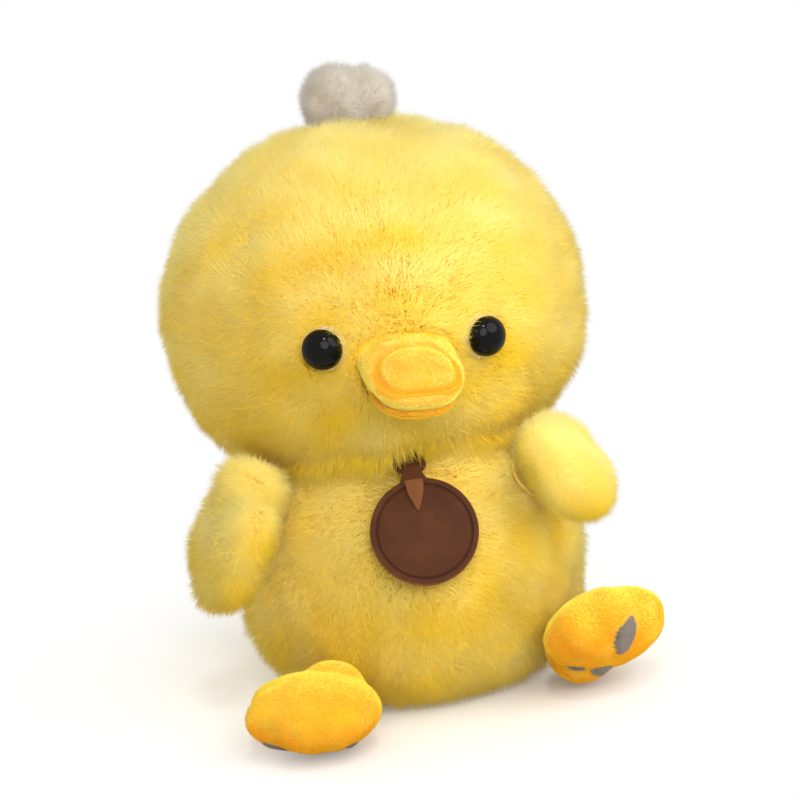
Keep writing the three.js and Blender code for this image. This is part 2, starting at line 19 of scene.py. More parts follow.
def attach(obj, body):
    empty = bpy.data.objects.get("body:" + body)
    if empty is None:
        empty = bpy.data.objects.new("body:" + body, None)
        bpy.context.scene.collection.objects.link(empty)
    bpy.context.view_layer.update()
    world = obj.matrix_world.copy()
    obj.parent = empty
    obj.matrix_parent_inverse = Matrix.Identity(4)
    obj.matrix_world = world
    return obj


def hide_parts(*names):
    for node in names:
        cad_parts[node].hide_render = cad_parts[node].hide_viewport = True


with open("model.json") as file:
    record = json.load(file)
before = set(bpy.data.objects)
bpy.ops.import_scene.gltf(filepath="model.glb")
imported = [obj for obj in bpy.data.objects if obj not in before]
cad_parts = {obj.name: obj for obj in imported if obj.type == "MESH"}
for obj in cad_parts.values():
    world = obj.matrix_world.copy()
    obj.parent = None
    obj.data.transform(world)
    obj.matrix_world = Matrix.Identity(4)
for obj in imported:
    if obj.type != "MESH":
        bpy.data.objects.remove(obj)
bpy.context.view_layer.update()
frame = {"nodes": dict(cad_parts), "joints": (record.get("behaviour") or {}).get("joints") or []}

LOG = logging.getLogger("plush_chick")
MM = 0.001
FIBRE_UV = "OFBake"
FLOOR_MARGIN = 0.35
SEED_STEP = 10
UP = np.array([0.0, 0.0, 1.0])

Points = np.ndarray
Shape = tuple[np.ndarray, list]
Triple = tuple[float, float, float]
Colour = Triple
Comb = Callable[[Points], Points]
Keep = Callable[[Points], np.ndarray]
Settle = Callable[[Points], Points]
Tone = Callable[[Points], np.ndarray]


class Slot(Enum):
    """Material slots of the record, named when pieces are dressed."""

    YELLOW_FUR = "yellow_fur"
    ORANGE_PLUSH = "orange_plush"
    WHITE_FUR = "white_fur"
    GREY_PAD = "grey_pad"
    FIBRE_FILL = "fibre_fill"
    BEAN_CLOTH = "bean_cloth"
    BROWN_LEATHER = "brown_leather"
    BROWN_CORD = "brown_cord"
    BLACK_PLASTIC = "black_plastic"


class Side(Enum):
    """The chick's own left and right, with the sign of X on that side."""

    LEFT = 1
    RIGHT = -1

    @property
    def word(self) -> str:
        """The side as it stands in piece names."""
        return self.name.lower()


def unit(vectors: Points) -> Points:
    """Vectors of length one along the last axis."""
    return vectors / np.maximum(np.linalg.norm(vectors, axis=-1, keepdims=True), 1e-9)


def turn_matrix(axis: str, degrees: float) -> np.ndarray:
    """A turn about one of the axes X, Y and Z as a 3 by 3 array."""
    return np.array(Matrix.Rotation(np.radians(degrees), 3, axis))


def smooth_step(low: float, high: float, values: np.ndarray) -> np.ndarray:
    """Values that rise smoothly from 0 at low to 1 at high."""
    share = np.clip((values - low) / (high - low), 0.0, 1.0)
    return share * share * (3.0 - 2.0 * share)


def signed_power(values: np.ndarray, power: float) -> np.ndarray:
    """Values raised to a power, with their signs kept."""
    return np.sign(values) * np.abs(values) ** power


def lay_along(direction: Points) -> Comb:
    """A comb that lays all fibres in one direction."""
    return lambda points: np.broadcast_to(direction, points.shape)


def joint_row(name: str) -> dict:
    """The record's row of one joint."""
    return next(row for row in frame["joints"] if row["name"] == name)


def joint_place(name: str) -> Points:
    """A joint's place in millimetres."""
    return np.array(joint_row(name)["pos_m"]) / MM


def joint_axis(name: str) -> Points:
    """A joint's axis, of length one."""
    return unit(np.array(joint_row(name)["axis"], float))


NECK = joint_place("head_turn")


class Ripple:
    """A smooth random field over space, made of a few plane waves."""

    waves = 14
    stretch_range = (0.65, 1.5)

    def __init__(self, wavelength: float, seed: int) -> None:
        """Draws the waves.

        Args:
            wavelength: Middle wavelength in millimetres.
            seed: Seed of the random draw.
        """
        rng = np.random.default_rng(seed)
        directions = unit(rng.normal(size=(self.waves, 3)))
        stretch = rng.uniform(*self.stretch_range, size=(self.waves, 1))
        self.vectors = directions * stretch * 2.0 * np.pi / wavelength
        self.phases = rng.uniform(0.0, 2.0 * np.pi, self.waves)

    def at(self, points: Points) -> np.ndarray:
        """The field, mostly from -1 to 1, at each point."""
        return np.sin(points @ self.vectors.T + self.phases).sum(axis=1) * np.sqrt(1.0 / self.waves)


@dataclass
class Surface:
    """A triangulated skin that fibres grow on, in millimetres."""

    points: Points
    normals: Points
    triangles: np.ndarray

    @classmethod
    def of(cls, piece: bpy.types.Object) -> "Surface":
        """Reads the surface of a mesh piece.

        Args:
            piece: The piece, with its place in its mesh.

        Returns:
            Its vertices, vertex normals and triangles.
        """
        mesh = piece.data
        points = np.empty(len(mesh.vertices) * 3)
        normals = np.empty(len(mesh.vertices) * 3)
        mesh.vertices.foreach_get("co", points)
        mesh.vertices.foreach_get("normal", normals)
        mesh.calc_loop_triangles()
        corners = np.empty(len(mesh.loop_triangles) * 3, dtype=np.int64)
        mesh.loop_triangles.foreach_get("vertices", corners)
        return cls(points.reshape(-1, 3) / MM, normals.reshape(-1, 3), corners.reshape(-1, 3))

    def scatter(self, count: int, rng: np.random.Generator) -> tuple[Points, Points]:
        """Spreads random points evenly over the surface.

        Args:
            count: How many points.
            rng: Source of random numbers.

        Returns:
            The points and the surface normals there.
        """
        a, b, c = (self.points[self.triangles[:, i]] for i in range(3))
        areas = np.linalg.norm(np.cross(b - a, c - a), axis=1)
        reach = np.cumsum(areas)
        chosen = np.searchsorted(reach, rng.uniform(0.0, reach[-1], count))
        first = np.sqrt(rng.uniform(size=count))[:, None]
        second = rng.uniform(size=count)[:, None]
        weights = (1.0 - first, first * (1.0 - second), first * second)
        corners = self.triangles[chosen]
        place = sum(w * self.points[corners[:, i]] for i, w in enumerate(weights))
        normal = sum(w * self.normals[corners[:, i]] for i, w in enumerate(weights))
        return place, unit(normal)


def add_to_scene(name: str, data: bpy.types.ID) -> bpy.types.Object:
    """Makes an object and links it to the scene.

    Args:
        name: Name of the object.
        data: Its mesh, lamp or camera.

    Returns:
        The object.
    """
    thing = bpy.data.objects.new(name, data)
    bpy.context.scene.collection.objects.link(thing)
    return thing


def make_piece(name: str, shape: Shape) -> bpy.types.Object:
    """Makes a smooth mesh piece.

    Args:
        name: Name of the piece.
        shape: Points in millimetres and faces.

    Returns:
        The piece, linked to the scene.
    """
    points, faces = shape
    mesh = bpy.data.meshes.new(name)
    mesh.from_pydata((np.asarray(points) * MM).tolist(), [], faces)
    mesh.polygons.foreach_set("use_smooth", [True] * len(mesh.polygons))
    mesh.update()
    return add_to_scene(name, mesh)


def keep_result(piece: bpy.types.Object) -> bpy.types.Object:
    """Turns the result of a piece's modifiers into its mesh.

    Args:
        piece: The piece with its modifiers.

    Returns:
        The same piece, without modifiers.
    """
    evaluated = piece.evaluated_get(bpy.context.evaluated_depsgraph_get())
    result = bpy.data.meshes.new_from_object(evaluated)
    piece.modifiers.clear()
    piece.data = result
    result.polygons.foreach_set("use_smooth", [True] * len(result.polygons))
    return piece


def ball(divisions: int) -> Shape:
    """A unit ball of even triangles.

    Args:
        divisions: Fineness of the mesh.

    Returns:
        The closed shape.
    """
    build = bmesh.new()
    bmesh.ops.create_icosphere(build, subdivisions=divisions, radius=1.0)
    points = np.array([v.co[:] for v in build.verts])
    faces = [[v.index for v in f.verts] for f in build.faces]
    build.free()
    return points, faces


def turned(profile: np.ndarray, sides: int) -> Shape:
    """Turns a profile that starts and ends on the Z axis.

    Args:
        profile: Rows of radius and height, from the lower pole to the upper one.
        sides: Facets round the axis.

    Returns:
        The closed shape.
    """
    angles = np.arange(sides) * 2.0 * np.pi / sides
    rings = [np.stack([r * np.cos(angles), r * np.sin(angles), np.full(sides, z)], axis=1)
             for r, z in profile[1:-1]]
    points = np.vstack([[0.0, 0.0, profile[0][1]], *rings, [0.0, 0.0, profile[-1][1]]])
    last = len(points) - 1
    faces = []
    for i in range(sides):
        j = (i + 1) % sides
        faces.append([0, 1 + j, 1 + i])
        for k in range(len(rings) - 1):
            low, high = 1 + k * sides, 1 + (k + 1) * sides
            faces.append([low + i, low + j, high + j, high + i])
        faces.append([last - sides + i, last - sides + j, last])
    return points, faces


def fused(name: str, shapes: list[Shape], voxel: float, smoothing: int) -> bpy.types.Object:
    """Grows overlapping closed shapes into one smooth skin.

    Args:
        name: Name of the piece.
        shapes: The shapes, in millimetres.
        voxel: Size of the even mesh, in millimetres.
        smoothing: Rounds of smoothing after it.

    Returns:
        The piece.
    """
    points, faces = [], []
    for shape_points, shape_faces in shapes:
        start = sum(len(p) for p in points)
        points.append(shape_points)
        faces.extend([[start + i for i in face] for face in shape_faces])
    piece = make_piece(name, (np.vstack(points), faces))
    remesh = piece.modifiers.new("even_mesh", "REMESH")
    remesh.mode = "VOXEL"
    remesh.voxel_size = voxel * MM
    soften = piece.modifiers.new("soften", "SMOOTH")
    soften.factor = 0.5
    soften.iterations = smoothing
    return keep_result(piece)


@dataclass(frozen=True)
class Pile:
    """How the fibres of a cloth stand. Lengths are in millimetres and angles in degrees."""

    length: float
    root_radius: float
    spread: float = 0.25
    lean: float = 38.0
    lean_change: float = 12.0
    droop: float = 0.0
    swirl: float = 40.0
    swirl_size: float = 30.0
    tangle: float = 24.0
    lock_size: float = 5.0
    lock_pull: float = 0.35
    tint_size: float = 20.0
    root_depth: float = 0.6


@dataclass
class Fleece:
    """Fibres on a skin, made as closed strands and cut into pieces of a fair size."""

    name: str
    skin: bpy.types.Object
    pile: Pile
    fibres: int
    seed: int
    comb: Comb
    keep: Keep | None = None
    settle: Settle | None = None
    # Painted light: an optional tint shift set by which way the skin faces.
    tone: Tone | None = None
    bent: bool = False

    bent_per_piece = 19500
    straight_per_piece = 49500
    tint_middle = 0.5
    tint_wave = 0.3
    tint_noise = 0.09
    tint_range = (0.02, 0.98)
    tone_share = 0.55
    lean_range = (2.0, 84.0)
    lean_noise = 0.6
    lean_wave_size = 0.6
    length_range = (-1.0, 0.6)
    length_wave = 0.1
    length_wave_size = 0.5
    lock_reach = 2.0
    pull_range = (0.3, 1.0)
    bend_radius = 0.72
    skew = (0.3, 0.5, 0.7)

    def grow(self) -> list[bpy.types.Object]:
        """Grows all fibres.

        Returns:
            The pieces, each of at most a set number of strands. The pieces, each under
            the size at which a mesh would be thinned out.
        """
        rng = np.random.default_rng(self.seed)
        roots, normals = self.plant(rng)
        middles, tips = self.lay(roots, normals, rng)
        tint = self.tint_middle + self.tint_wave * Ripple(self.pile.tint_size, self.seed + 4).at(roots)
        # Painted light: the tone shifts each fibre's tint by which way its skin faces.
        if self.tone is not None:
            tint = self.tone_share * tint + self.tone(normals)
        tint = np.clip(tint + rng.normal(0.0, self.tint_noise, len(roots)), *self.tint_range)
        order = rng.permutation(len(roots))
        share = self.bent_per_piece if self.bent else self.straight_per_piece
        pieces = []
        for number, start in enumerate(range(0, len(order), share)):
            part = order[start:start + share]
            name = f"{self.name}_{number + 1}"
            rings = (roots[part], middles[part], tips[part])
            pieces.append(self.strand_piece(name, rings, tint[part]))
        return pieces

    def plant(self, rng: np.random.Generator) -> tuple[Points, Points]:
        """Chooses where fibres grow.

        Args:
            rng: Source of random numbers.

        Returns:
            Roots and skin normals.
        """
        roots, normals = Surface.of(self.skin).scatter(self.fibres, rng)
        if self.keep is not None:
            kept = self.keep(roots)
            roots, normals = roots[kept], normals[kept]
        return roots, normals

    def lay(self, roots: Points, normals: Points, rng: np.random.Generator) -> tuple[Points, Points]:
        """Combs the fibres and draws them into locks.

        Args:
            roots: Where the fibres grow.
            normals: Skin normals there.
            rng: Source of random numbers.

        Returns:
            The bend and the tip of each fibre.
        """
        pile, count = self.pile, len(roots)
        flow = self.comb(roots)
        flow = unit(flow - normals * (flow * normals).sum(axis=1, keepdims=True))
        turn = pile.swirl * Ripple(pile.swirl_size, self.seed + 1).at(roots)
        turn = np.radians(turn + rng.normal(0.0, pile.tangle, count))[:, None]
        flow = flow * np.cos(turn) + np.cross(normals, flow) * np.sin(turn)
        wave = Ripple(pile.swirl_size * self.lean_wave_size, self.seed + 2).at(roots)
        noise = rng.normal(0.0, self.lean_noise * pile.lean_change, count)
        lean = np.clip(pile.lean + pile.lean_change * wave + noise, *self.lean_range)
        lean = np.radians(lean)[:, None]
        length = pile.length * (1.0 + pile.spread * rng.uniform(*self.length_range, count))
        wave = Ripple(pile.swirl_size * self.length_wave_size, self.seed + 3).at(roots)
        length = (length * (1.0 + self.length_wave * wave))[:, None]
        bend = lean + np.radians(pile.droop)
        middles = roots + 0.5 * length * (normals * np.cos(lean) + flow * np.sin(lean))
        tips = middles + 0.5 * length * (normals * np.cos(bend) + flow * np.sin(bend))
        cells = np.floor((roots + self.lock_reach * flow) / pile.lock_size).astype(np.int64)
        lock = np.unique(cells, axis=0, return_inverse=True)[1].reshape(-1)
        sizes = np.bincount(lock)[:, None]
        centre = np.stack([np.bincount(lock, tips[:, i]) for i in range(3)], axis=1) / sizes
        pull = pile.lock_pull * rng.uniform(*self.pull_range, count)[:, None]
        tips = tips + pull * (centre[lock] - tips)
        if self.settle is not None:
            middles, tips = self.settle(middles), self.settle(tips)
        return middles, tips

    def strand_piece(self, name: str, stations: tuple[Points, Points, Points],
                     tint: np.ndarray) -> bpy.types.Object:
        """Makes closed three-sided strands, as one mesh with a root-to-tip map.

        Args:
            name: Name of the piece.
            stations: Root, bend and tip of each strand.
            tint: Tint of each strand, from 0 to 1.

        Returns:
            The piece.
        """
        root, middle, tip = stations
        first, second = unit(middle - root), unit(tip - middle)
        root = root - first * self.pile.root_depth
        across = unit(np.cross(first, np.roll(first, 1, axis=1) + self.skew))
        rings = [(root, first, self.pile.root_radius)]
        if self.bent:
            rings.append((middle, unit(first + second), self.bend_radius * self.pile.root_radius))
            polygons = [[0, 2, 1], [0, 1, 4, 3], [1, 2, 5, 4], [2, 0, 3, 5], [3, 4, 6], [4, 5, 6], [5, 3, 6]]
            heights = np.array([0.0, 0.0, 0.0, 0.5, 0.5, 0.5, 1.0])
        else:
            polygons = [[0, 2, 1], [0, 1, 3], [1, 2, 3], [2, 0, 3]]
            heights = np.array([0.0, 0.0, 0.0, 1.0])
        columns = []
        for centre, axis, radius in rings:
            side = unit(across - axis * (across * axis).sum(axis=1, keepdims=True))
            other = np.cross(axis, side)
            for angle in np.arange(3) * 2.0 * np.pi / 3.0:
                columns.append(centre + radius * (side * np.cos(angle) + other * np.sin(angle)))
        columns.append(tip)
        return fill_strands(name, np.stack(columns, axis=1), polygons, heights, tint)


def fill_strands(name: str, columns: Points, polygons: list[list[int]], heights: np.ndarray,
                 tint: np.ndarray) -> bpy.types.Object:
    """Writes many like strands into one mesh.

    Args:
        name: Name of the piece.
        columns: Points of each strand, as strands by points by three.
        polygons: Faces of one strand.
        heights: Root-to-tip share of each point of a strand.
        tint: Tint of each strand.

    Returns:
        The piece.
    """
    strands, points = columns.shape[:2]
    corners = np.array([i for face in polygons for i in face])
    starts = np.cumsum([0] + [len(face) for face in polygons[:-1]])
    mesh = bpy.data.meshes.new(name)
    mesh.vertices.add(strands * points)
    mesh.vertices.foreach_set("co", (columns * MM).astype(np.float32).ravel())
    mesh.loops.add(strands * len(corners))
    index = corners[None, :] + points * np.arange(strands)[:, None]
    mesh.loops.foreach_set("vertex_index", index.astype(np.int32).ravel())
    mesh.polygons.add(strands * len(polygons))
    loop_start = starts[None, :] + len(corners) * np.arange(strands)[:, None]
    mesh.polygons.foreach_set("loop_start", loop_start.astype(np.int32).ravel())
    mesh.update(calc_edges=True)
    layer = mesh.uv_layers.new(name=FIBRE_UV)
    across = np.repeat(tint, len(corners))
    along = np.tile(heights[corners], strands)
    layer.data.foreach_set("uv", np.stack([across, along], axis=1).astype(np.float32).ravel())
    return add_to_scene(name, mesh)


class NodeBoard:
    """A material's node tree with short calls to add and join nodes."""

    def __init__(self, name: str) -> None:
        """Starts a material with its Principled shader.

        Args:
            name: Name of the material.
        """
        self.material = bpy.data.materials.new(name)
        self.material.use_nodes = True
        self.tree = self.material.node_tree
        self.shader = self.tree.nodes["Principled BSDF"]

    def add(self, kind: str, **inputs: object) -> bpy.types.Node:
        """Adds a node and sets its inputs.

        Args:
            kind: Blender's name of the node type, without the leading ShaderNode.
            **inputs: Input values, with spaces in a name written as underscores.

        Returns:
            The node.
        """
        node = self.tree.nodes.new("ShaderNode" + kind)
        for name, value in inputs.items():
            node.inputs[name.replace("_", " ")].default_value = value
        return node

    def join(self, source: bpy.types.NodeSocket, target: bpy.types.NodeSocket) -> None:
        """Links two sockets."""
        self.tree.links.new(source, target)

    def ramp(self, source: bpy.types.NodeSocket, stops: list[tuple[float, Colour]]) -> bpy.types.NodeSocket:
        """Adds a colour ramp.

        Args:
            source: What drives the ramp.
            stops: Places from 0 to 1, and linear colours.

        Returns:
            The colour socket.
        """
        node = self.add("ValToRGB")
        elements = node.color_ramp.elements
        while len(elements) < len(stops):
            elements.new(0.5)
        for element, (place, colour) in zip(elements, stops):
            element.position = place
            element.color = (*colour, 1.0)
        self.join(source, node.inputs["Fac"])
        return node.outputs["Color"]

    def noise(self, size: float, detail: float = 3.0) -> bpy.types.NodeSocket:
        """Adds noise over the object.

        Args:
            size: Size of its features, in millimetres.
            detail: Finer noise within them.

        Returns:
            The noise socket.
        """
        place = self.add("TexCoord")
        node = self.add("TexNoise", Scale=1.0 / (size * MM), Detail=detail)
        self.join(place.outputs["Object"], node.inputs["Vector"])
        return node.outputs["Fac"]

    def bump(self, source: bpy.types.NodeSocket, depth: float, strength: float = 1.0) -> None:
        """Bumps the shader by a height map.

        Args:
            source: The heights, from 0 to 1.
            depth: Depth in millimetres.
            strength: Share of the bump that shows.
        """
        node = self.add("Bump", Strength=strength, Distance=depth * MM)
        self.join(source, node.inputs["Height"])
        self.join(node.outputs["Normal"], self.shader.inputs["Normal"])

    def colour(self, source: bpy.types.NodeSocket) -> None:
        """Joins a colour to the shader."""
        self.join(source, self.shader.inputs["Base Color"])

    def constants(self, **values: object) -> None:
        """Sets constant values on the shader's own sockets."""
        for name, value in values.items():
            self.shader.inputs[name.replace("_", " ")].default_value = value


@dataclass(frozen=True)
class FibreFinish:
    """Colour of fibres from root to tip, in a deeper and a paler tint. The root colour, darker on most
    finishes, is painted shade deep in the pile.
    """

    name: str
    root: Colour
    deep: Colour
    pale: Colour
    roughness: float = 0.7
    sheen: float = 0.25
    sheen_roughness: float = 0.5
    shine: float = 0.25
    tint_stops: tuple[float, float] = (0.1, 0.9)
    root_stops: tuple[float, float] = (0.05, 0.75)

    def material(self) -> bpy.types.Material:
        """Builds the material from the fibre map alone.

        Returns:
            The material.
        """
        board = NodeBoard(self.name)
        place = board.add("UVMap")
        place.uv_map = FIBRE_UV
        parts = board.add("SeparateXYZ")
        board.join(place.outputs["UV"], parts.inputs["Vector"])
        tip = board.ramp(parts.outputs["X"], list(zip(self.tint_stops, (self.deep, self.pale))))
        along = board.ramp(parts.outputs["Y"], list(zip(self.root_stops, ((0.0,) * 3, (1.0,) * 3))))
        mix = board.add("Mix")
        mix.data_type = "RGBA"
        colours = [s for s in mix.inputs if s.type == "RGBA"]
        # Painted shade: fibres take the root colour near the skin, darker deep in the pile.
        colours[0].default_value = (*self.root, 1.0)
        board.join(tip, colours[1])
        board.join(along, mix.inputs["Factor"])
        result = next(s for s in mix.outputs if s.type == "RGBA")
        board.colour(result)
        board.constants(Roughness=self.roughness, Sheen_Weight=self.sheen,
                        Sheen_Roughness=self.sheen_roughness, Specular_IOR_Level=self.shine)
        return board.material


@dataclass(frozen=True)
class ClothFinish:
    """Woven or knitted ground of a plush, with a fine nap and patches of tint."""

    name: str
    deep: Colour
    pale: Colour
    patch: float = 12.0
    nap: float = 0.5
    depth: float = 0.25
    roughness: float = 0.85
    sheen: float = 0.3
    shine: float = 0.2

    def material(self) -> bpy.types.Material:
        """Builds the material.

        Returns:
            The material.
        """
        board = NodeBoard(self.name)
        board.colour(board.ramp(board.noise(self.patch), [(0.35, self.deep), (0.65, self.pale)]))
        board.bump(board.noise(self.nap, 2.0), self.depth)
        board.constants(Roughness=self.roughness, Sheen_Weight=self.sheen, Specular_IOR_Level=self.shine)
        return board.material


@dataclass(frozen=True)
class LeatherFinish:
    """Waxed leather with a fine grain and rubbed patches."""

    name: str
    deep: Colour
    pale: Colour
    grain: float = 0.7
    depth: float = 0.12
    roughness: tuple[float, float] = (0.42, 0.62)
    patch: float = 9.0
    bump: float = 0.6
    shine: float = 0.1

    def material(self) -> bpy.types.Material:
        """Builds the material.

        Returns:
            The material.
        """
        board = NodeBoard(self.name)
        patches = board.noise(self.patch, 5.0)
        board.colour(board.ramp(patches, [(0.3, self.deep), (0.72, self.pale)]))
        rough = board.add("MapRange", To_Min=self.roughness[0], To_Max=self.roughness[1])
        board.join(patches, rough.inputs["Value"])
        board.join(rough.outputs["Result"], board.shader.inputs["Roughness"])
        place = board.add("TexCoord")
        cells = board.add("TexVoronoi", Scale=1.0 / (self.grain * MM))
        board.join(place.outputs["Object"], cells.inputs["Vector"])
        board.bump(cells.outputs["Distance"], self.depth, self.bump)
        board.constants(Specular_IOR_Level=self.shine)
        return board.material


@dataclass(frozen=True)
class GlossFinish:
    """Moulded plastic, polished or plain."""

    name: str
    colour: Colour
    roughness: float
    shine: float = 0.4
    patch: float = 2.5
    patch_gain: float = 1.3

    def material(self) -> bpy.types.Material:
        """Builds the material.

        Returns:
            The material.
        """
        board = NodeBoard(self.name)
        tint = tuple(min(1.0, c * self.patch_gain) for c in self.colour)
        board.colour(board.ramp(board.noise(self.patch), [(0.3, self.colour), (0.7, tint)]))
        board.constants(Roughness=self.roughness, Specular_IOR_Level=self.shine)
        return board.material


Finish = FibreFinish | ClothFinish | LeatherFinish | GlossFinish

# Where fur and nap face up, painted light from above moves their tint towards the pale colour.
YELLOW_FIBRE = FibreFinish("yellow_fur_fibre", (0.87, 0.58, 0.010), (0.89, 0.61, 0.012),
                           (0.92, 0.79, 0.26), roughness=0.6, sheen=0.08)
YELLOW_GROUND = ClothFinish("yellow_fur_ground", (0.87, 0.56, 0.010), (0.88, 0.60, 0.016))
ORANGE_FIBRE = FibreFinish("orange_plush_fibre", (0.89, 0.42, 0.001), (0.90, 0.44, 0.001),
                           (0.93, 0.80, 0.09), sheen=0.04)
ORANGE_GROUND = ClothFinish("orange_plush_ground", (0.90, 0.43, 0.001), (0.92, 0.47, 0.002))
BILL_FIBRE = FibreFinish("bill_plush_fibre", (0.88, 0.53, 0.014), (0.92, 0.71, 0.065),
                         (0.93, 0.81, 0.16), sheen=0.2)
BILL_GROUND = ClothFinish("bill_plush_ground", (0.80, 0.36, 0.01), (0.90, 0.50, 0.03))
# Deeper orange fibres of the lower lip, also laid in the crease round the bill's pad as painted shade.
LIP_AND_CREASE_SHADE_FIBRE = FibreFinish("lip_plush_fibre", (0.88, 0.42, 0.004), (0.92, 0.56, 0.012),
                        (0.93, 0.58, 0.02), sheen=0.1)
WHITE_FIBRE = FibreFinish("white_fur_fibre", (0.56, 0.40, 0.22), (0.48, 0.44, 0.38),
                          (0.62, 0.59, 0.55), sheen=0.1)
WHITE_GROUND = ClothFinish("white_fur_ground", (0.48, 0.39, 0.28), (0.54, 0.46, 0.37))
GREY_FIBRE = FibreFinish("grey_pad_fibre", (0.17, 0.14, 0.12), (0.22, 0.18, 0.155), (0.31, 0.26, 0.225))
GREY_GROUND = ClothFinish("grey_pad_ground", (0.18, 0.15, 0.13), (0.27, 0.22, 0.19), patch=3.0)
FILL = ClothFinish("loose_fibre_fill", (0.78, 0.76, 0.70), (0.90, 0.88, 0.84), patch=6.0, nap=1.5, depth=0.8)
BEAN_CLOTH = ClothFinish("woven_bean_cloth", (0.70, 0.64, 0.52), (0.80, 0.75, 0.64),
                         patch=8.0, nap=0.6, depth=0.2)
THREAD = ClothFinish("sewing_thread", (0.62, 0.38, 0.03), (0.74, 0.48, 0.06), patch=4.0, nap=0.3, depth=0.1)
LEATHER = LeatherFinish("waxed_leather", (0.050, 0.0135, 0.0035), (0.080, 0.024, 0.007))
BURNT_LEATHER = LeatherFinish("burnt_leather", (0.035, 0.011, 0.006), (0.06, 0.019, 0.010))
RAW_LEATHER = LeatherFinish("raw_leather_edge", (0.12, 0.043, 0.015), (0.19, 0.074, 0.027),
                            grain=0.4, depth=0.08, roughness=(0.7, 0.85))
CORD = LeatherFinish("waxed_cord", (0.07, 0.025, 0.013), (0.11, 0.04, 0.022), grain=0.5, depth=0.1)
EYE_GLOSS = GlossFinish("eye_plastic", (0.002, 0.0018, 0.0015), roughness=0.04, shine=0.13)
WASHER_PLASTIC = GlossFinish("washer_plastic", (0.70, 0.68, 0.63), roughness=0.5)


@cache
def material_of(finish: Finish) -> bpy.types.Material:
    """The one material of a finish."""
    return finish.material()


def dress(piece: bpy.types.Object, finish: Finish, slot: Slot, body: str, *nodes: str) -> bpy.types.Object:
    """Gives a piece its finish and its body, and hides the frame nodes that it stands for.

    Args:
        piece: The piece.
        finish: One of the finishes.
        slot: The record's slot; not used.
        body: Body that the piece moves with.
        *nodes: Frame nodes that the piece replaces.

    Returns:
        The piece.
    """
    piece.data.materials.append(material_of(finish))
    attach(piece, body)
    if nodes:
        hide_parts(*nodes)
    LOG.info("%s rides on %s", piece.name, body)
    return piece


def stuffed(piece: bpy.types.Object, finish: Finish, slot: Slot, body: str, fill: float,
            *nodes: str) -> bpy.types.Object:
    """Dresses a piece that is filled or padded.

    Args:
        piece: The piece.
        finish: One of the finishes.
        slot: The record's slot.
        body: Body that the piece moves with.
        fill: How firmly it is filled, up to 1; not used.
        *nodes: Frame nodes that the piece replaces.

    Returns:
        The piece.
    """
    dress(piece, finish, slot, body, *nodes)
    return piece


def paler_above(level: float, rise: float) -> Tone:
    """A tone that is paler where fibres look up and deeper where they look down: painted light from above."""
    return lambda normals: level + rise * normals[:, 2]


def dress_fleece(fleece: Fleece, finish: FibreFinish, slot: Slot, body: str) -> None:
    """Grows a fleece and dresses each of its pieces, which let light through as thin fibres do.

    Args:
        fleece: The fibres.
        finish: Their finish.
        slot: The record's slot.
        body: Body that they move with.
    """
    for piece in fleece.grow():
        piece.visible_shadow = False
        dress(piece, finish, slot, body)


def above_floor(points: Points) -> Points:
    """Lifts points that would sink into the floor.

    Args:
        points: Points of fibres.

    Returns:
        The points, none of them below the margin.
    """
    lifted = points.copy()
    lifted[:, 2] = np.maximum(lifted[:, 2], FLOOR_MARGIN)
    return lifted


FUR = Pile(length=7.6, root_radius=0.17, spread=0.45, lean=42.0, lean_change=6.0, swirl=22.0,
           swirl_size=26.0, tangle=48.0, lock_pull=0.1, lock_size=2.4, tint_size=22.0)
# Painted light: fur and nap are paler where their skin faces up and deeper where it faces down.
FUR_PAINTED_LIGHT = paler_above(level=0.17, rise=0.36)
NAP_PAINTED_LIGHT = paler_above(level=0.19, rise=0.5)


@dataclass
class TagPlace:
    """Where the leather tag lies: a flat disc that leans on the torso below its hanger bar."""

    radius: float = 18.4
    strap_rise: float = 3.3
    back: float = 62.6
    offset: float = 1.0
    press_margin: float = 1.5
    press_gap: float = 0.5

    def axes(self) -> tuple[Points, Points, Points]:
        """The tag's own right, up and outward directions.

        Returns:
            Three unit vectors.
        """
        bar = joint_place("tag_lift") - NECK
        level = unit(np.array([bar[0], bar[1], 0.0]))
        lean = np.arcsin(bar[2] / np.linalg.norm(bar)) - np.arcsin(self.bar_rise / np.linalg.norm(bar))
        outward = level * np.cos(lean) + UP * np.sin(lean)
        upward = UP * np.cos(lean) - level * np.sin(lean)
        return np.cross(upward, outward), upward, outward

    @property
    def bar_rise(self) -> float:
        """Height of the hanger bar above the middle of the disc."""
        return self.radius + self.strap_rise

    @property
    def bar_depth(self) -> float:
        """Depth of the hanger bar from the back of the disc, outward."""
        bar = joint_place("tag_lift") - NECK
        return float(np.sqrt(bar @ bar - self.bar_rise ** 2)) - self.back

    def local(self, points: Points) -> Points:
        """Moves points into the tag's own frame, with the middle of its back as origin.

        Args:
            points: Points of the row frame.

        Returns:
            The points, as right, up and outward.
        """
        right, upward, outward = self.axes()
        away = points - NECK
        return np.stack([away @ right - self.offset, away @ upward, away @ outward - self.back], axis=1)

    def world(self, points: Points) -> Points:
        """Moves points of the tag's own frame into the row frame.

        Args:
            points: The points, as right, up and outward.

        Returns:
            Points of the row frame.
        """
        right, upward, outward = self.axes()
        shifted = points + np.array([self.offset, 0.0, self.back])
        return NECK + shifted @ np.stack([right, upward, outward])

    def press(self, points: Points) -> Points:
        """Presses fibres down below the tag.

        Args:
            points: Points of fibres.

        Returns:
            The points, none of them inside the tag.
        """
        place = self.local(points)
        near = np.hypot(place[:, 0], place[:, 1]) < self.radius + self.press_margin
        press = np.where(near & (place[:, 2] > -self.press_gap), place[:, 2] + self.press_gap, 0.0)
        return points - press[:, None] * self.axes()[2]


TAG_PLACE = TagPlace()


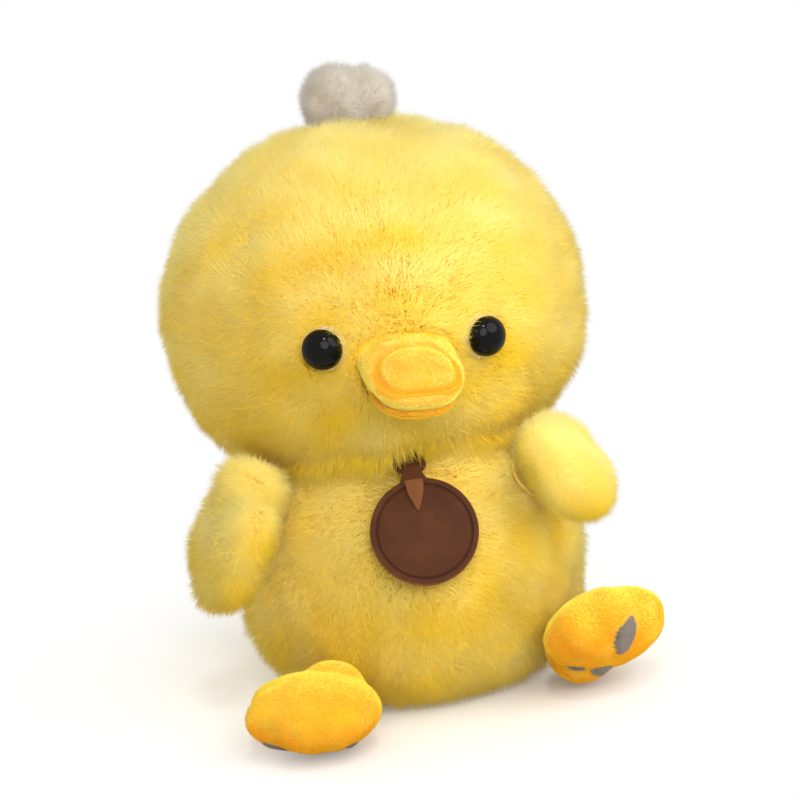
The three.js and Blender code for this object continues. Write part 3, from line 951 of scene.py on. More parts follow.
@dataclass
class HeadForm:
    """The head: a wide ball with a hollow underside that sits on the torso."""

    half_width: float = 76.0
    half_depth: float = 71.0
    half_height: float = 68.0
    lean: float = 10.4
    distance: float = 94.5
    turn: float = -3.5
    face_roll: float = 4.2
    skin_depth: float = 5.4
    socket: float = 61.0

    @property
    def centre(self) -> Points:
        """Middle of the ball, from the neck, before the head's turn."""
        lean = np.radians(self.lean)
        return np.array([0.0, self.distance * np.sin(lean), self.distance * np.cos(lean)])

    @property
    def halves(self) -> Points:
        """Half sizes along the head's own axes."""
        return np.array([self.half_width, self.half_depth, self.half_height])

    def world(self, points: Points) -> Points:
        """Points of the head's own frame, in the row frame."""
        return NECK + points @ turn_matrix("Z", self.turn).T

    def local(self, points: Points) -> Points:
        """Points of the row frame, in the head's own frame."""
        return (points - NECK) @ turn_matrix("Z", self.turn)

    def front(self, across: float, up: float) -> Points:
        """A point on the front of the ball, in the head's own frame."""
        share = 1.0 - (across / self.half_width) ** 2 - (up / self.half_height) ** 2
        return self.centre + np.array([across, -self.half_depth * np.sqrt(share), up])

    def face(self, across: float, up: float) -> Points:
        """A point of the face, which sits on the front of the ball with a slight roll.

        Args:
            across: Distance to the chick's left.
            up: Distance up the face.

        Returns:
            The point, in the head's own frame.
        """
        roll = np.radians(self.face_roll)
        return self.front(across * np.cos(roll) + up * np.sin(roll),
                          up * np.cos(roll) - across * np.sin(roll))

    def outward(self, place: Points) -> Points:
        """Direction away from the ball at a point on it."""
        return unit((place - self.centre) / self.halves ** 2)

    def skin(self, inset: float, lumps: Ripple, lump_depth: float, divisions: int) -> Shape:
        """The stuffed skin with its hollow underside.

        Args:
            inset: Depth below the outside of the fur.
            lumps: Uneven stuffing.
            lump_depth: Height of the lumps.
            divisions: Fineness of the mesh.

        Returns:
            The closed shape, in the row frame.
        """
        points, faces = ball(divisions)
        skin = self.centre + points * (self.halves - inset)
        skin = skin + points * (lump_depth * lumps.at(skin))[:, None]
        floor = self.socket + max(0.0, inset - self.skin_depth)
        away = np.linalg.norm(skin, axis=1, keepdims=True)
        skin = np.where(away < floor, skin * floor / away, skin)
        return self.world(skin), faces


HEAD = HeadForm()


@dataclass
class Eye:
    """A black safety eye: a dome on a stem."""

    side: Side
    radius: float = 7.0
    dome: float = 5.6
    sink: float = 3.0
    spacing: float = 58.0
    rise: float = 0.3
    stem_radius: float = 2.5
    stem_length: float = 15.0
    rim_inset: float = 0.3
    rim_angle: float = 0.03
    sides: int = 56
    steps: int = 18

    @property
    def place(self) -> Points:
        """Where the eye sits on the head, in the head's own frame."""
        return HEAD.face(self.side.value * self.spacing / 2.0, self.rise)

    def build(self) -> bpy.types.Object:
        """Makes the eye.

        Returns:
            The piece.
        """
        foot = -self.sink - self.stem_length
        profile = [[0.0, foot], [self.stem_radius, foot], [self.stem_radius, -self.sink]]
        profile += [[self.radius - self.rim_inset, -self.sink]]
        for angle in np.linspace(self.rim_angle, np.pi / 2.0, self.steps):
            profile.append([self.radius * np.cos(angle), -self.sink + self.dome * np.sin(angle)])
        points, faces = turned(np.array(profile), self.sides)
        outward = HEAD.outward(self.place)
        right = unit(np.cross(UP, outward))
        axes = np.stack([right, np.cross(outward, right), outward])
        piece = make_piece(f"{self.side.word}_eye_dome", (HEAD.world(self.place + points @ axes), faces))
        return dress(piece, EYE_GLOSS, Slot.BLACK_PLASTIC, "head", f"{self.side.word}_eye")


@dataclass
class Bill:
    """The padded bill: an upper cushion with a sewn pad and a rolled rim, over a thin lower lip."""

    half_width: float = 17.0
    half_depth: float = 27.0
    half_height: float = 9.5
    squareness: float = 2.7
    tilt: float = 12.0
    drop: float = 6.0
    pad_half_width: float = 12.6
    pad_half_depth: float = 10.5
    pad_front: float = 13.5
    pad_squareness: float = 2.6
    pad_crown: float = 1.1
    pad_edge: float = 2.5
    groove_depth: float = 2.3
    groove_width: float = 0.12
    crease: tuple[float, float] = (0.9, 1.13)
    rim_curl: float = 1.6
    rim_across: tuple[float, float] = (9.0, 18.0)
    rim_along: tuple[float, float] = (-4.0, -14.0)
    root_squareness: float = 2.4
    root_depth: float = 6.0
    lip_half_width: float = 14.3
    lip_half_depth: float = 22.0
    lip_half_height: float = 5.0
    lip_drop: float = 7.5
    nap_depth: float = 1.1
    lip_nap_depth: float = 0.9
    nap_fibres: int = 60000
    lip_fibres: int = 26000
    seed: int = 301
    nap_lay: Triple = (0.0, -1.0, -0.2)
    pile: Pile = Pile(length=1.4, root_radius=0.11, lean=42.0, lean_change=8.0, swirl=30.0,
                      swirl_size=9.0, lock_size=1.6, lock_pull=0.2, tint_size=6.0, root_depth=0.2)

    @property
    def root(self) -> Points:
        """Where the bill leaves the head, in the head's own frame."""
        return HEAD.face(0.0, -self.drop)

    @property
    def stance(self) -> np.ndarray:
        """The bill's turn in the head's own frame."""
        return turn_matrix("Y", HEAD.face_roll) @ turn_matrix("X", self.tilt)

    def world(self, points: Points) -> Points:
        """Points of the bill's own frame, in the row frame."""
        return HEAD.world(self.root + points @ self.stance.T)

    def local(self, points: Points) -> Points:
        """Points of the head's own frame, in the bill's."""
        return (points - self.root) @ self.stance

    def cushion(self, halves: Points, divisions: int) -> Shape:
        """A pillow with a squarish plan.

        Args:
            halves: Half sizes.
            divisions: Fineness of the mesh.

        Returns:
            The closed shape about its own middle.
        """
        points, faces = ball(divisions)
        plan = np.hypot(points[:, 0], points[:, 1])
        turn = np.arctan2(points[:, 1], points[:, 0])
        power = 2.0 / self.squareness
        square = np.stack([signed_power(np.cos(turn), power), signed_power(np.sin(turn), power)], axis=1)
        shaped = np.column_stack([square * plan[:, None], points[:, 2]])
        return shaped * halves, faces

    def upper(self, inset: float) -> Shape:
        """The upper cushion with its sewn pad.

        Args:
            inset: Depth below the outside of the plush.

        Returns:
            The closed shape in the row frame.
        """
        halves = np.array([self.half_width, self.half_depth, self.half_height]) - inset
        points, faces = self.cushion(halves, 6)
        ring = self.pad_ring(points)
        top = smooth_step(0.0, self.pad_edge, points[:, 2])
        groove = self.groove_depth * np.exp(-((ring - 1.0) / self.groove_width) ** 2)
        crown = self.pad_crown * np.clip(1.0 - ring ** 2, 0.0, 1.0)
        curl = self.rim_curl * smooth_step(*self.rim_across, np.abs(points[:, 0]))
        curl *= smooth_step(*self.rim_along, points[:, 1])
        lifted = points.copy()
        lifted[:, 2] += top * (crown - groove) + curl
        return self.world(lifted), faces

    def pad_ring(self, points: Points) -> np.ndarray:
        """Measures how far points lie from the middle of the pad.

        Args:
            points: Points of the bill's own frame.

        Returns:
            Shares of the way to the pad's seam, where they are 1.
        """
        across = np.abs(points[:, 0]) / self.pad_half_width
        along = np.abs((points[:, 1] + self.pad_front) / self.pad_half_depth)
        power = self.pad_squareness
        return (across ** power + along ** power) ** (1.0 / power)

    def lip(self, inset: float) -> Shape:
        """The lower lip.

        Args:
            inset: Depth below the outside of the plush.

        Returns:
            The closed shape in the row frame.
        """
        halves = np.array([self.lip_half_width, self.lip_half_depth, self.lip_half_height]) - inset
        points, faces = self.cushion(halves, 5)
        return self.world(points - [0.0, 0.0, self.lip_drop]), faces

    def covers(self, points: Points, margin: float) -> np.ndarray:
        """Whether points of the head's own frame lie in the root of the bill.

        Args:
            points: The points.
            margin: Room round the bill.

        Returns:
            A mask.
        """
        across, _, up = np.abs(self.local(points).T)
        low = np.abs(self.local(points)[:, 2] + self.lip_drop)
        in_front = points[:, 1] < HEAD.centre[1]
        covered = np.zeros(len(points), dtype=bool)
        for half_width, half_height, rise in ((self.half_width, self.half_height, up),
                                              (self.lip_half_width, self.lip_half_height, low)):
            reach = (across / (half_width + margin)) ** self.root_squareness
            reach = reach + (rise / (half_height + margin)) ** self.root_squareness
            covered |= reach < 1.0
        return covered & in_front

    def outside(self, points: Points) -> np.ndarray:
        """Whether roots lie outside the head."""
        place = HEAD.local(points) - HEAD.centre
        return ((place / (HEAD.halves - self.root_depth)) ** 2).sum(axis=1) > 1.0

    def creased(self, points: Points) -> np.ndarray:
        """Tells which roots lie in the crease round the pad.

        Args:
            points: Roots.

        Returns:
            A mask.
        """
        place = self.local(HEAD.local(points))
        ring = self.pad_ring(place)
        return (place[:, 2] > 0.0) & (ring > self.crease[0]) & (ring < self.crease[1])

    def on_cushion(self, points: Points) -> np.ndarray:
        """Whether roots lie outside the head and off the crease."""
        return self.outside(points) & ~self.creased(points)

    def in_crease(self, points: Points) -> np.ndarray:
        """Whether roots lie outside the head and in the crease, whose deeper orange fibres are painted shade.
        """
        return self.outside(points) & self.creased(points)

    def build(self) -> None:
        """Makes the cushion, the lip and their nap, which lies towards the bill's tip."""
        upper = stuffed(make_piece("upper_bill", self.upper(self.nap_depth)), BILL_GROUND, Slot.ORANGE_PLUSH,
                        "head", 0.8, "upper_bill_cover", "upper_bill_stuffing")
        lip = stuffed(make_piece("lower_lip", self.lip(self.lip_nap_depth)), BILL_GROUND, Slot.ORANGE_PLUSH,
                      "head", 0.6, "lower_bill")
        comb = lay_along(HEAD.world(np.array([self.nap_lay])) - NECK)
        # Painted shade: the crease round the pad gets the deeper orange lip fibres.
        naps = (("bill_nap", upper, self.nap_fibres, self.on_cushion, BILL_FIBRE),
                ("bill_crease_nap", upper, self.nap_fibres, self.in_crease, LIP_AND_CREASE_SHADE_FIBRE),
                ("lip_nap", lip, self.lip_fibres, self.outside, LIP_AND_CREASE_SHADE_FIBRE))
        for seed, (name, skin, fibres, keep, finish) in enumerate(naps, self.seed):
            fleece = Fleece(name, skin, self.pile, fibres, seed, comb, keep)
            dress_fleece(fleece, finish, Slot.ORANGE_PLUSH, "head")


@dataclass(frozen=True)
class Lobe:
    """One lobe of the tuft: its half sizes, and its middle from the tuft's foot."""

    halves: Triple
    place: Triple


@dataclass
class Tuft:
    """A low skirt and two fluffy lobes of pale fibre on the crown."""

    setback: float = 9.0
    lobes: tuple[Lobe, ...] = (Lobe((16.0, 11.0, 8.0), (1.0, 0.0, 2.5)),
                               Lobe((10.5, 10.0, 12.0), (7.0, 0.0, 5.0)),
                               Lobe((13.0, 10.5, 13.5), (-3.5, 0.0, 6.0)))
    core: float = 0.64
    voxel: float = 0.7
    smoothing: int = 8
    fibres: int = 49000
    seed: int = 401
    pile: Pile = Pile(length=5.0, root_radius=0.1, spread=0.6, lean=30.0, lean_change=10.0,
                      swirl=70.0, swirl_size=7.0, tangle=60.0, lock_size=1.6, lock_pull=0.1, tint_size=8.0)

    @property
    def foot(self) -> Points:
        """Middle of the tuft's foot on the crown, in the head's own frame."""
        crown = HEAD.half_height * np.sqrt(1.0 - (self.setback / HEAD.half_depth) ** 2)
        return HEAD.centre + np.array([0.0, self.setback, crown])

    def build(self) -> None:
        """Makes the core of the tuft and its fibres, which stand up."""
        points, faces = ball(3)
        shapes = [(HEAD.world(self.foot + points * lobe.halves * self.core + lobe.place), faces)
                  for lobe in self.lobes]
        core = stuffed(fused("crown_tuft_core", shapes, self.voxel, self.smoothing), WHITE_GROUND,
                       Slot.WHITE_FUR, "head", 0.3, "crown_tuft")
        fleece = Fleece("crown_tuft_fibres", core, self.pile, self.fibres, self.seed, lay_along(UP))
        dress_fleece(fleece, WHITE_FIBRE, Slot.WHITE_FUR, "head")


@dataclass
class Head:
    """The fur head with its eyes, bill and tuft."""

    fibres: int = 290000
    fringe_fibres: int = 240000
    fringe_band: float = 8.0
    fringe_pile: Pile = Pile(length=10.5, root_radius=0.17, spread=0.6, lean=16.0, lean_change=6.0,
                             swirl=30.0, tangle=60.0, lock_pull=0.1, lock_size=2.4)
    lump_size: float = 44.0
    lump_depth: float = 0.7
    fill_inset: float = 2.5
    fill_lump_size: float = 16.0
    fill_lump_depth: float = 0.9
    socket_gap: float = 0.4
    eye_overlap: float = 0.6
    bill_overlap: float = 0.6
    tuft_clear: float = 9.0
    face_band: tuple[float, float] = (20.0, -40.0)
    face_share: float = 0.6
    eye_band: tuple[float, float] = (6.0, 14.0)
    eye_share: float = 0.8
    hang: Triple = (0.0, 0.1, -1.0)
    seed: int = 101
    fringe_seed: int = 111

    def __post_init__(self) -> None:
        """Sets up the eyes, the bill and the tuft."""
        self.eyes = [Eye(side) for side in Side]
        self.bill = Bill()
        self.tuft = Tuft()

    def keep(self, points: Points) -> np.ndarray:
        """Where the head's fur grows: not under eyes, bill and tuft, nor in the socket.

        Args:
            points: Roots.

        Returns:
            A mask.
        """
        place = HEAD.local(points)
        grows = np.linalg.norm(place, axis=1) > HEAD.socket + self.socket_gap
        for eye in self.eyes:
            inner = eye.place - HEAD.skin_depth * HEAD.outward(eye.place)
            grows &= np.linalg.norm(place - inner, axis=1) > eye.radius - self.eye_overlap
        grows &= ~self.bill.covers(place, -self.bill_overlap)
        return grows & (np.linalg.norm(place - self.tuft.foot, axis=1) > self.tuft_clear)

    def at_neck(self, points: Points) -> np.ndarray:
        """Whether roots lie in the band above the neck, whose longer fur hides the crease."""
        away = np.linalg.norm(points - NECK, axis=1) - HEAD.socket
        return (away > self.socket_gap) & (away < self.fringe_band)

    def comb(self, points: Points) -> Points:
        """The lay of the fur: down from the crown, and away from eyes and bill.

        Args:
            points: Roots.

        Returns:
            Directions, of which the part along the skin counts.
        """
        place = HEAD.local(points)
        away = unit(place - self.bill.root)
        face = smooth_step(*self.face_band, place[:, 1] - HEAD.centre[1])[:, None]
        flow = face * away + (1.0 - self.face_share * face) * np.array(self.hang)
        for eye in self.eyes:
            from_eye = place - eye.place
            near = 1.0 - smooth_step(*self.eye_band, np.linalg.norm(from_eye, axis=1))
            flow += self.eye_share * near[:, None] * unit(from_eye)
        return flow @ turn_matrix("Z", HEAD.turn).T

    def build(self) -> None:
        """Makes the head's skin, stuffing, fur and face."""
        lumps = Ripple(self.lump_size, 11)
        skin = make_piece("head_skin", HEAD.skin(HEAD.skin_depth, lumps, self.lump_depth, 6))
        stuffed(skin, YELLOW_GROUND, Slot.YELLOW_FUR, "head", 0.85, "head_cover")
        lumps = Ripple(self.fill_lump_size, 12)
        inner = HEAD.skin(HEAD.skin_depth + self.fill_inset, lumps, self.fill_lump_depth, 5)
        stuffed(make_piece("head_fill", inner), FILL, Slot.FIBRE_FILL, "head", 0.85, "head_stuffing")
        fleeces = (("head_fur", FUR, self.fibres, self.seed, self.keep),
                   ("head_fringe", self.fringe_pile, self.fringe_fibres, self.fringe_seed, self.at_neck))
        for name, pile, fibres, seed, keep in fleeces:
            # Painted light: the head's fur is paler where it faces up.
            fleece = Fleece(name, skin, pile, fibres, seed, self.comb, keep, tone=FUR_PAINTED_LIGHT)
            dress_fleece(fleece, YELLOW_FIBRE, Slot.YELLOW_FUR, "head")
        for eye in self.eyes:
            eye.build()
        self.bill.build()
        self.tuft.build()


@dataclass
class TorsoForm:
    """The torso: a ball above its widest line and a rounded seat below it."""

    radius: float = 62.0
    seat_radius: float = 36.0
    roundness: float = 2.2
    skin_depth: float = 5.4
    seat_edge: float = -60.0

    def skin(self, inset: float, lumps: Ripple, lump_depth: float, divisions: int) -> Shape:
        """The stuffed skin with its flat seat.

        Args:
            inset: Depth below the outside of the fur.
            lumps: Uneven stuffing.
            lump_depth: Height of the lumps.
            divisions: Fineness of the mesh.

        Returns:
            The closed shape in the row frame.
        """
        points, faces = ball(divisions)
        points = points + (lump_depth / self.radius) * points * lumps.at(points * self.radius)[:, None]
        length = np.linalg.norm(points, axis=1)
        heading = unit(np.column_stack([points[:, :2], np.zeros(len(points))]))
        climb = np.degrees(np.arcsin(np.clip(points[:, 2] / length, -1.0, 1.0)))
        radius, depth = self.radius - inset, NECK[2] - inset
        share = np.clip(climb / self.seat_edge, 0.0, 1.0) * np.pi / 2.0
        power = 2.0 / self.roundness
        out = self.seat_radius + (radius - self.seat_radius) * np.cos(share).clip(0.0) ** power
        down = -depth * np.sin(share) ** power
        flat = np.clip((90.0 + climb) / (90.0 + self.seat_edge), 0.0, 1.0)
        out = np.where(climb < self.seat_edge, self.seat_radius * flat, out)
        lower = heading * out[:, None] + np.column_stack([np.zeros((len(points), 2)), down])
        skin = np.where((climb >= 0.0)[:, None], points * radius, lower * length[:, None])
        return NECK + skin, faces


TORSO = TorsoForm()


@dataclass
class WingForm:
    """One wing: a paddle that follows the curve of the torso below a ball-shaped root."""

    side: Side
    raised: float
    root_radius: float = 13.0
    half_length: float = 24.5
    half_width: float = 19.5
    half_thickness: float = 12.0
    fullness: float = 0.68
    reach: float = 12.0
    shoulder_radius: float = 14.0
    shoulder_rise: float = 6.0
    skin_depth: float = 6.0
    fill_inset: float = 2.0
    voxel: float = 1.1
    smoothing: int = 10
    fibres: int = 62000
    seed: int = 201

    @property
    def pivot(self) -> Points:
        """Middle of the wing's root."""
        return joint_place(f"{self.side.word}_wing_swing")

    @property
    def axes(self) -> np.ndarray:
        """The wing's own axes.

        Returns:
            Rows along the wing, across it and away from the torso.
        """
        away = unit(self.pivot - NECK)
        across = -joint_axis(f"{self.side.word}_wing_flap")
        along = np.cross(across, away)
        tilt = np.radians(self.raised)
        return np.stack([along * np.cos(tilt) + away * np.sin(tilt), across,
                         away * np.cos(tilt) - along * np.sin(tilt)])

    def paddle(self, inset: float) -> Shape:
        """The bent paddle about the wing's root.

        Args:
            inset: Depth below the outside of the fur.

        Returns:
            The closed shape in the wing's own frame.
        """
        points, faces = ball(5)
        girth = np.maximum(np.hypot(points[:, 1], points[:, 2]), 1e-6) ** (self.fullness - 1.0)
        points = points * np.column_stack([np.ones(len(points)), girth, girth])
        distance = float(np.linalg.norm(self.pivot - NECK))
        bend = (self.reach + (self.half_length - inset) * points[:, 0]) / distance
        lift = distance + (self.half_thickness - inset) * points[:, 2]
        width = (self.half_width - inset) * points[:, 1]
        return np.column_stack([lift * np.sin(bend), width, lift * np.cos(bend) - distance]), faces

    def skin(self, name: str, inset: float) -> bpy.types.Object:
        """The wing's skin, with root, shoulder and paddle in one.

        Args:
            name: Name of the piece.
            inset: Depth below the outside of the fur.

        Returns:
            The piece.
        """
        root, root_faces = ball(4)
        paddle, faces = self.paddle(inset)
        shoulder = root * (self.shoulder_radius - inset) - [self.shoulder_rise, 0.0, 0.0]
        shapes = [(root * (self.root_radius - inset), root_faces), (shoulder, root_faces), (paddle, faces)]
        shapes = [(self.pivot + points @ self.axes, shape_faces) for points, shape_faces in shapes]
        return fused(name, shapes, self.voxel, self.smoothing)

    def build(self) -> None:
        """Makes the wing's skin, stuffing and fur, which runs to the wing's tip."""
        body = f"{self.side.word}_wing"
        skin = self.skin(f"{body}_skin", self.skin_depth)
        stuffed(skin, YELLOW_GROUND, Slot.YELLOW_FUR, body, 0.7, f"{body}_cover")
        inner = self.skin(f"{body}_fill", self.skin_depth + self.fill_inset)
        stuffed(inner, FILL, Slot.FIBRE_FILL, body, 0.7, f"{body}_stuffing")
        # Painted light: the wing's fur is paler where it faces up.
        fleece = Fleece(f"{body}_fur", skin, FUR, self.fibres, self.seed + SEED_STEP * self.side.value,
                        lay_along(self.axes[0]), tone=FUR_PAINTED_LIGHT)
        dress_fleece(fleece, YELLOW_FIBRE, Slot.YELLOW_FUR, body)


@dataclass(frozen=True)
class PadPlace:
    """A sole pad: its angle from the middle toe, its share of the way to the edge, and its half sizes."""

    turn: float
    reach: float
    half_length: float
    half_width: float


@dataclass
class FootForm:
    """One foot: a ball-shaped ankle and a broad paddle whose edge swells into toes."""

    side: Side
    lift: float
    roll: float
    toe_turn: float
    ankle_radius: float = 13.0
    half_length: float = 19.5
    half_width: float = 23.5
    half_thickness: float = 13.0
    reach: float = 13.0
    squareness: float = 2.2
    toe_scallop: float = 0.08
    toe_pitch: float = 52.0
    pads: tuple[PadPlace, ...] = (PadPlace(4.0, 0.56, 6.5, 5.0), PadPlace(-154.0, 0.4, 3.2, 5.2),
                                  PadPlace(-118.0, 0.66, 2.6, 2.2))
    sole_rim: float = 0.02
    pad_thickness: float = 0.8
    pad_edge: float = 0.25
    pad_back: float = 0.5
    pad_taper: tuple[float, float] = (0.8, 0.3)
    pad_density: float = 60.0
    skin_depth: float = 1.2
    fill_inset: float = 1.6
    voxel: float = 0.8
    smoothing: int = 6
    fibres: int = 49000
    seed: int = 501
    pad_seed: int = 551
    pile: Pile = Pile(length=1.3, root_radius=0.15, lean=34.0, lean_change=5.0, swirl=25.0,
                      swirl_size=18.0, lock_size=2.0, lock_pull=0.1, tint_size=11.0, root_depth=0.2)

    @property
    def ankle(self) -> Points:
        """Middle of the ankle."""
        return joint_place(f"{self.side.word}_foot_lift")

    @property
    def axes(self) -> np.ndarray:
        """The foot's own axes.

        Returns:
            Rows towards the toes, across the foot and up from its sole.
        """
        across = -joint_axis(f"{self.side.word}_foot_lift")
        level = np.stack([np.cross(across, UP), across, UP])
        turn = turn_matrix("Y", -self.lift) @ turn_matrix("X", self.roll)
        return turn.T @ level

    def world(self, points: Points) -> Points:
        """Points of the foot's own frame, in the row frame."""
        return self.ankle + points @ self.axes

    def local(self, points: Points) -> Points:
        """Points of the row frame, in the foot's own frame."""
        return (points - self.ankle) @ self.axes.T

    def toe_swell(self, turn: np.ndarray) -> np.ndarray:
        """Measures how far the plan swells into toes.

        Args:
            turn: Angles round the paddle.

        Returns:
            Shares of the plan's own reach.
        """
        waves, turn = 360.0 / self.toe_pitch, turn - np.radians(self.toe_turn)
        turn = (turn + np.pi) % (2.0 * np.pi) - np.pi
        return 1.0 + self.toe_scallop * np.cos(waves * turn) * np.maximum(0.0, np.cos(turn))

    def paddle(self, inset: float) -> Shape:
        """The paddle with its toes, in the foot's own frame.

        Args:
            inset: Depth below the outside of the plush.

        Returns:
            The closed shape.
        """
        points, faces = ball(6)
        turn = np.arctan2(points[:, 1], points[:, 0])
        plan = np.hypot(points[:, 0], points[:, 1]) * self.toe_swell(turn)
        power = 2.0 / self.squareness
        x = (self.half_length - inset) * plan * signed_power(np.cos(turn), power)
        y = (self.half_width - inset) * plan * signed_power(np.sin(turn), power)
        return np.column_stack([self.reach + x, y, (self.half_thickness - inset) * points[:, 2]]), faces

    def sole(self, plan: Points) -> np.ndarray:
        """Height of the sole at points of its plan.

        Args:
            plan: Rows of X and Y in the foot's own frame.

        Returns:
            Heights.
        """
        x = (plan[:, 0] - self.reach) / (self.half_length - self.skin_depth)
        y = plan[:, 1] / (self.half_width - self.skin_depth)
        power = self.squareness
        turn = np.arctan2(signed_power(y, power / 2.0), signed_power(x, power / 2.0))
        spread = (np.abs(x) ** power + np.abs(y) ** power) ** (1.0 / power) / self.toe_swell(turn)
        rim = np.sqrt(np.maximum(self.sole_rim, 1.0 - spread ** 2))
        paddle = -(self.half_thickness - self.skin_depth) * rim
        ankle = (self.ankle_radius - self.skin_depth) ** 2 - (plan ** 2).sum(axis=1)
        return np.minimum(paddle, -np.sqrt(np.maximum(0.0, ankle)))

    def skin(self, name: str, inset: float) -> bpy.types.Object:
        """The foot's skin, ankle and paddle in one.

        Args:
            name: Name of the piece.
            inset: Depth below the outside of the plush.

        Returns:
            The piece.
        """
        ankle, ankle_faces = ball(4)
        paddle, faces = self.paddle(inset)
        shapes = [(self.world(ankle * (self.ankle_radius - inset)), ankle_faces), (self.world(paddle), faces)]
        return fused(name, shapes, self.voxel, self.smoothing)

    def pad_plan(self, place: PadPlace) -> tuple[Points, np.ndarray]:
        """Middle and direction of a sole pad.

        Args:
            place: The pad.

        Returns:
            The middle in plan, and rows along and across the pad.
        """
        angle = np.radians(self.toe_turn + self.side.value * place.turn)
        heading = np.array([np.cos(angle), np.sin(angle)])
        middle = np.array([self.reach, 0.0]) + place.reach * heading * [self.half_length, self.half_width]
        return middle, np.stack([heading, [-heading[1], heading[0]]])

    def in_pads(self, points: Points) -> np.ndarray:
        """Tells which roots lie in a sole pad.

        Args:
            points: Roots.

        Returns:
            A mask.
        """
        spot = self.local(points)
        inside = np.zeros(len(points), dtype=bool)
        middle_width, widening = self.pad_taper
        for place in self.pads:
            middle, rows = self.pad_plan(place)
            along, across = ((spot[:, :2] - middle) @ rows.T).T
            taper = middle_width + widening * np.clip(along / place.half_length, -1.0, 1.0)
            reach = (along / place.half_length) ** 2 + (across / (place.half_width * taper)) ** 2
            inside |= (reach < 1.0) & (spot[:, 2] < 0.0)
        return inside

    def pad(self, place: PadPlace, rings: int = 8, sides: int = 36) -> Shape:
        """A grey pad that is widest towards the toes and lies on the sole.

        Args:
            place: The pad.
            rings: Rings from the middle to the edge.
            sides: Points round each ring.

        Returns:
            The closed shape in the row frame.
        """
        middle, rows = self.pad_plan(place)
        profile = [(share, self.pad_edge - self.pad_thickness * np.sqrt(max(0.0, 1.0 - share ** 4)))
                   for share in np.linspace(0.0, 1.0, rings)]
        profile += [(share, self.pad_back) for share in np.linspace(1.0, 0.0, rings)]
        disc, faces = turned(np.array(profile), sides)
        along = disc[:, 0]
        across = disc[:, 1] * (self.pad_taper[0] + self.pad_taper[1] * along)
        plan = middle + np.column_stack([along * place.half_length, across * place.half_width]) @ rows
        return self.world(np.column_stack([plan, self.sole(plan) + disc[:, 2]])), faces

    def off_pads(self, points: Points) -> np.ndarray:
        """Whether roots lie outside all sole pads."""
        return ~self.in_pads(points)

    def build(self) -> None:
        """Makes the foot's skin, stuffing, sole pads and nap, which runs towards the toes."""
        word = self.side.word
        body = f"{word}_foot"
        shift = SEED_STEP * self.side.value
        comb = lay_along(self.axes[0])
        skin = self.skin(f"{body}_skin", self.skin_depth)
        stuffed(skin, ORANGE_GROUND, Slot.ORANGE_PLUSH, body, 0.8, f"{body}_cover")
        inner = self.skin(f"{body}_fill", self.skin_depth + self.fill_inset)
        stuffed(inner, FILL, Slot.FIBRE_FILL, body, 0.8, f"{body}_stuffing")
        # Painted light: the nap is paler on top of the foot and deeper orange below.
        fleece = Fleece(f"{body}_nap", skin, self.pile, self.fibres, self.seed + shift, comb, self.off_pads,
                        above_floor, NAP_PAINTED_LIGHT)
        dress_fleece(fleece, ORANGE_FIBRE, Slot.ORANGE_PLUSH, body)
        for number, place in enumerate(self.pads, 1):
            pad = make_piece(f"{word}_pad_{number}", self.pad(place))
            dress(pad, GREY_GROUND, Slot.GREY_PAD, body, f"{word}_sole_pad_{number}")
            fibres = int(self.pad_density * np.pi * place.half_length * place.half_width)
            fleece = Fleece(f"{word}_pad_nap_{number}", pad, self.pile, fibres,
                            self.pad_seed + shift + number, comb, settle=above_floor)
            dress_fleece(fleece, GREY_FIBRE, Slot.GREY_PAD, body)


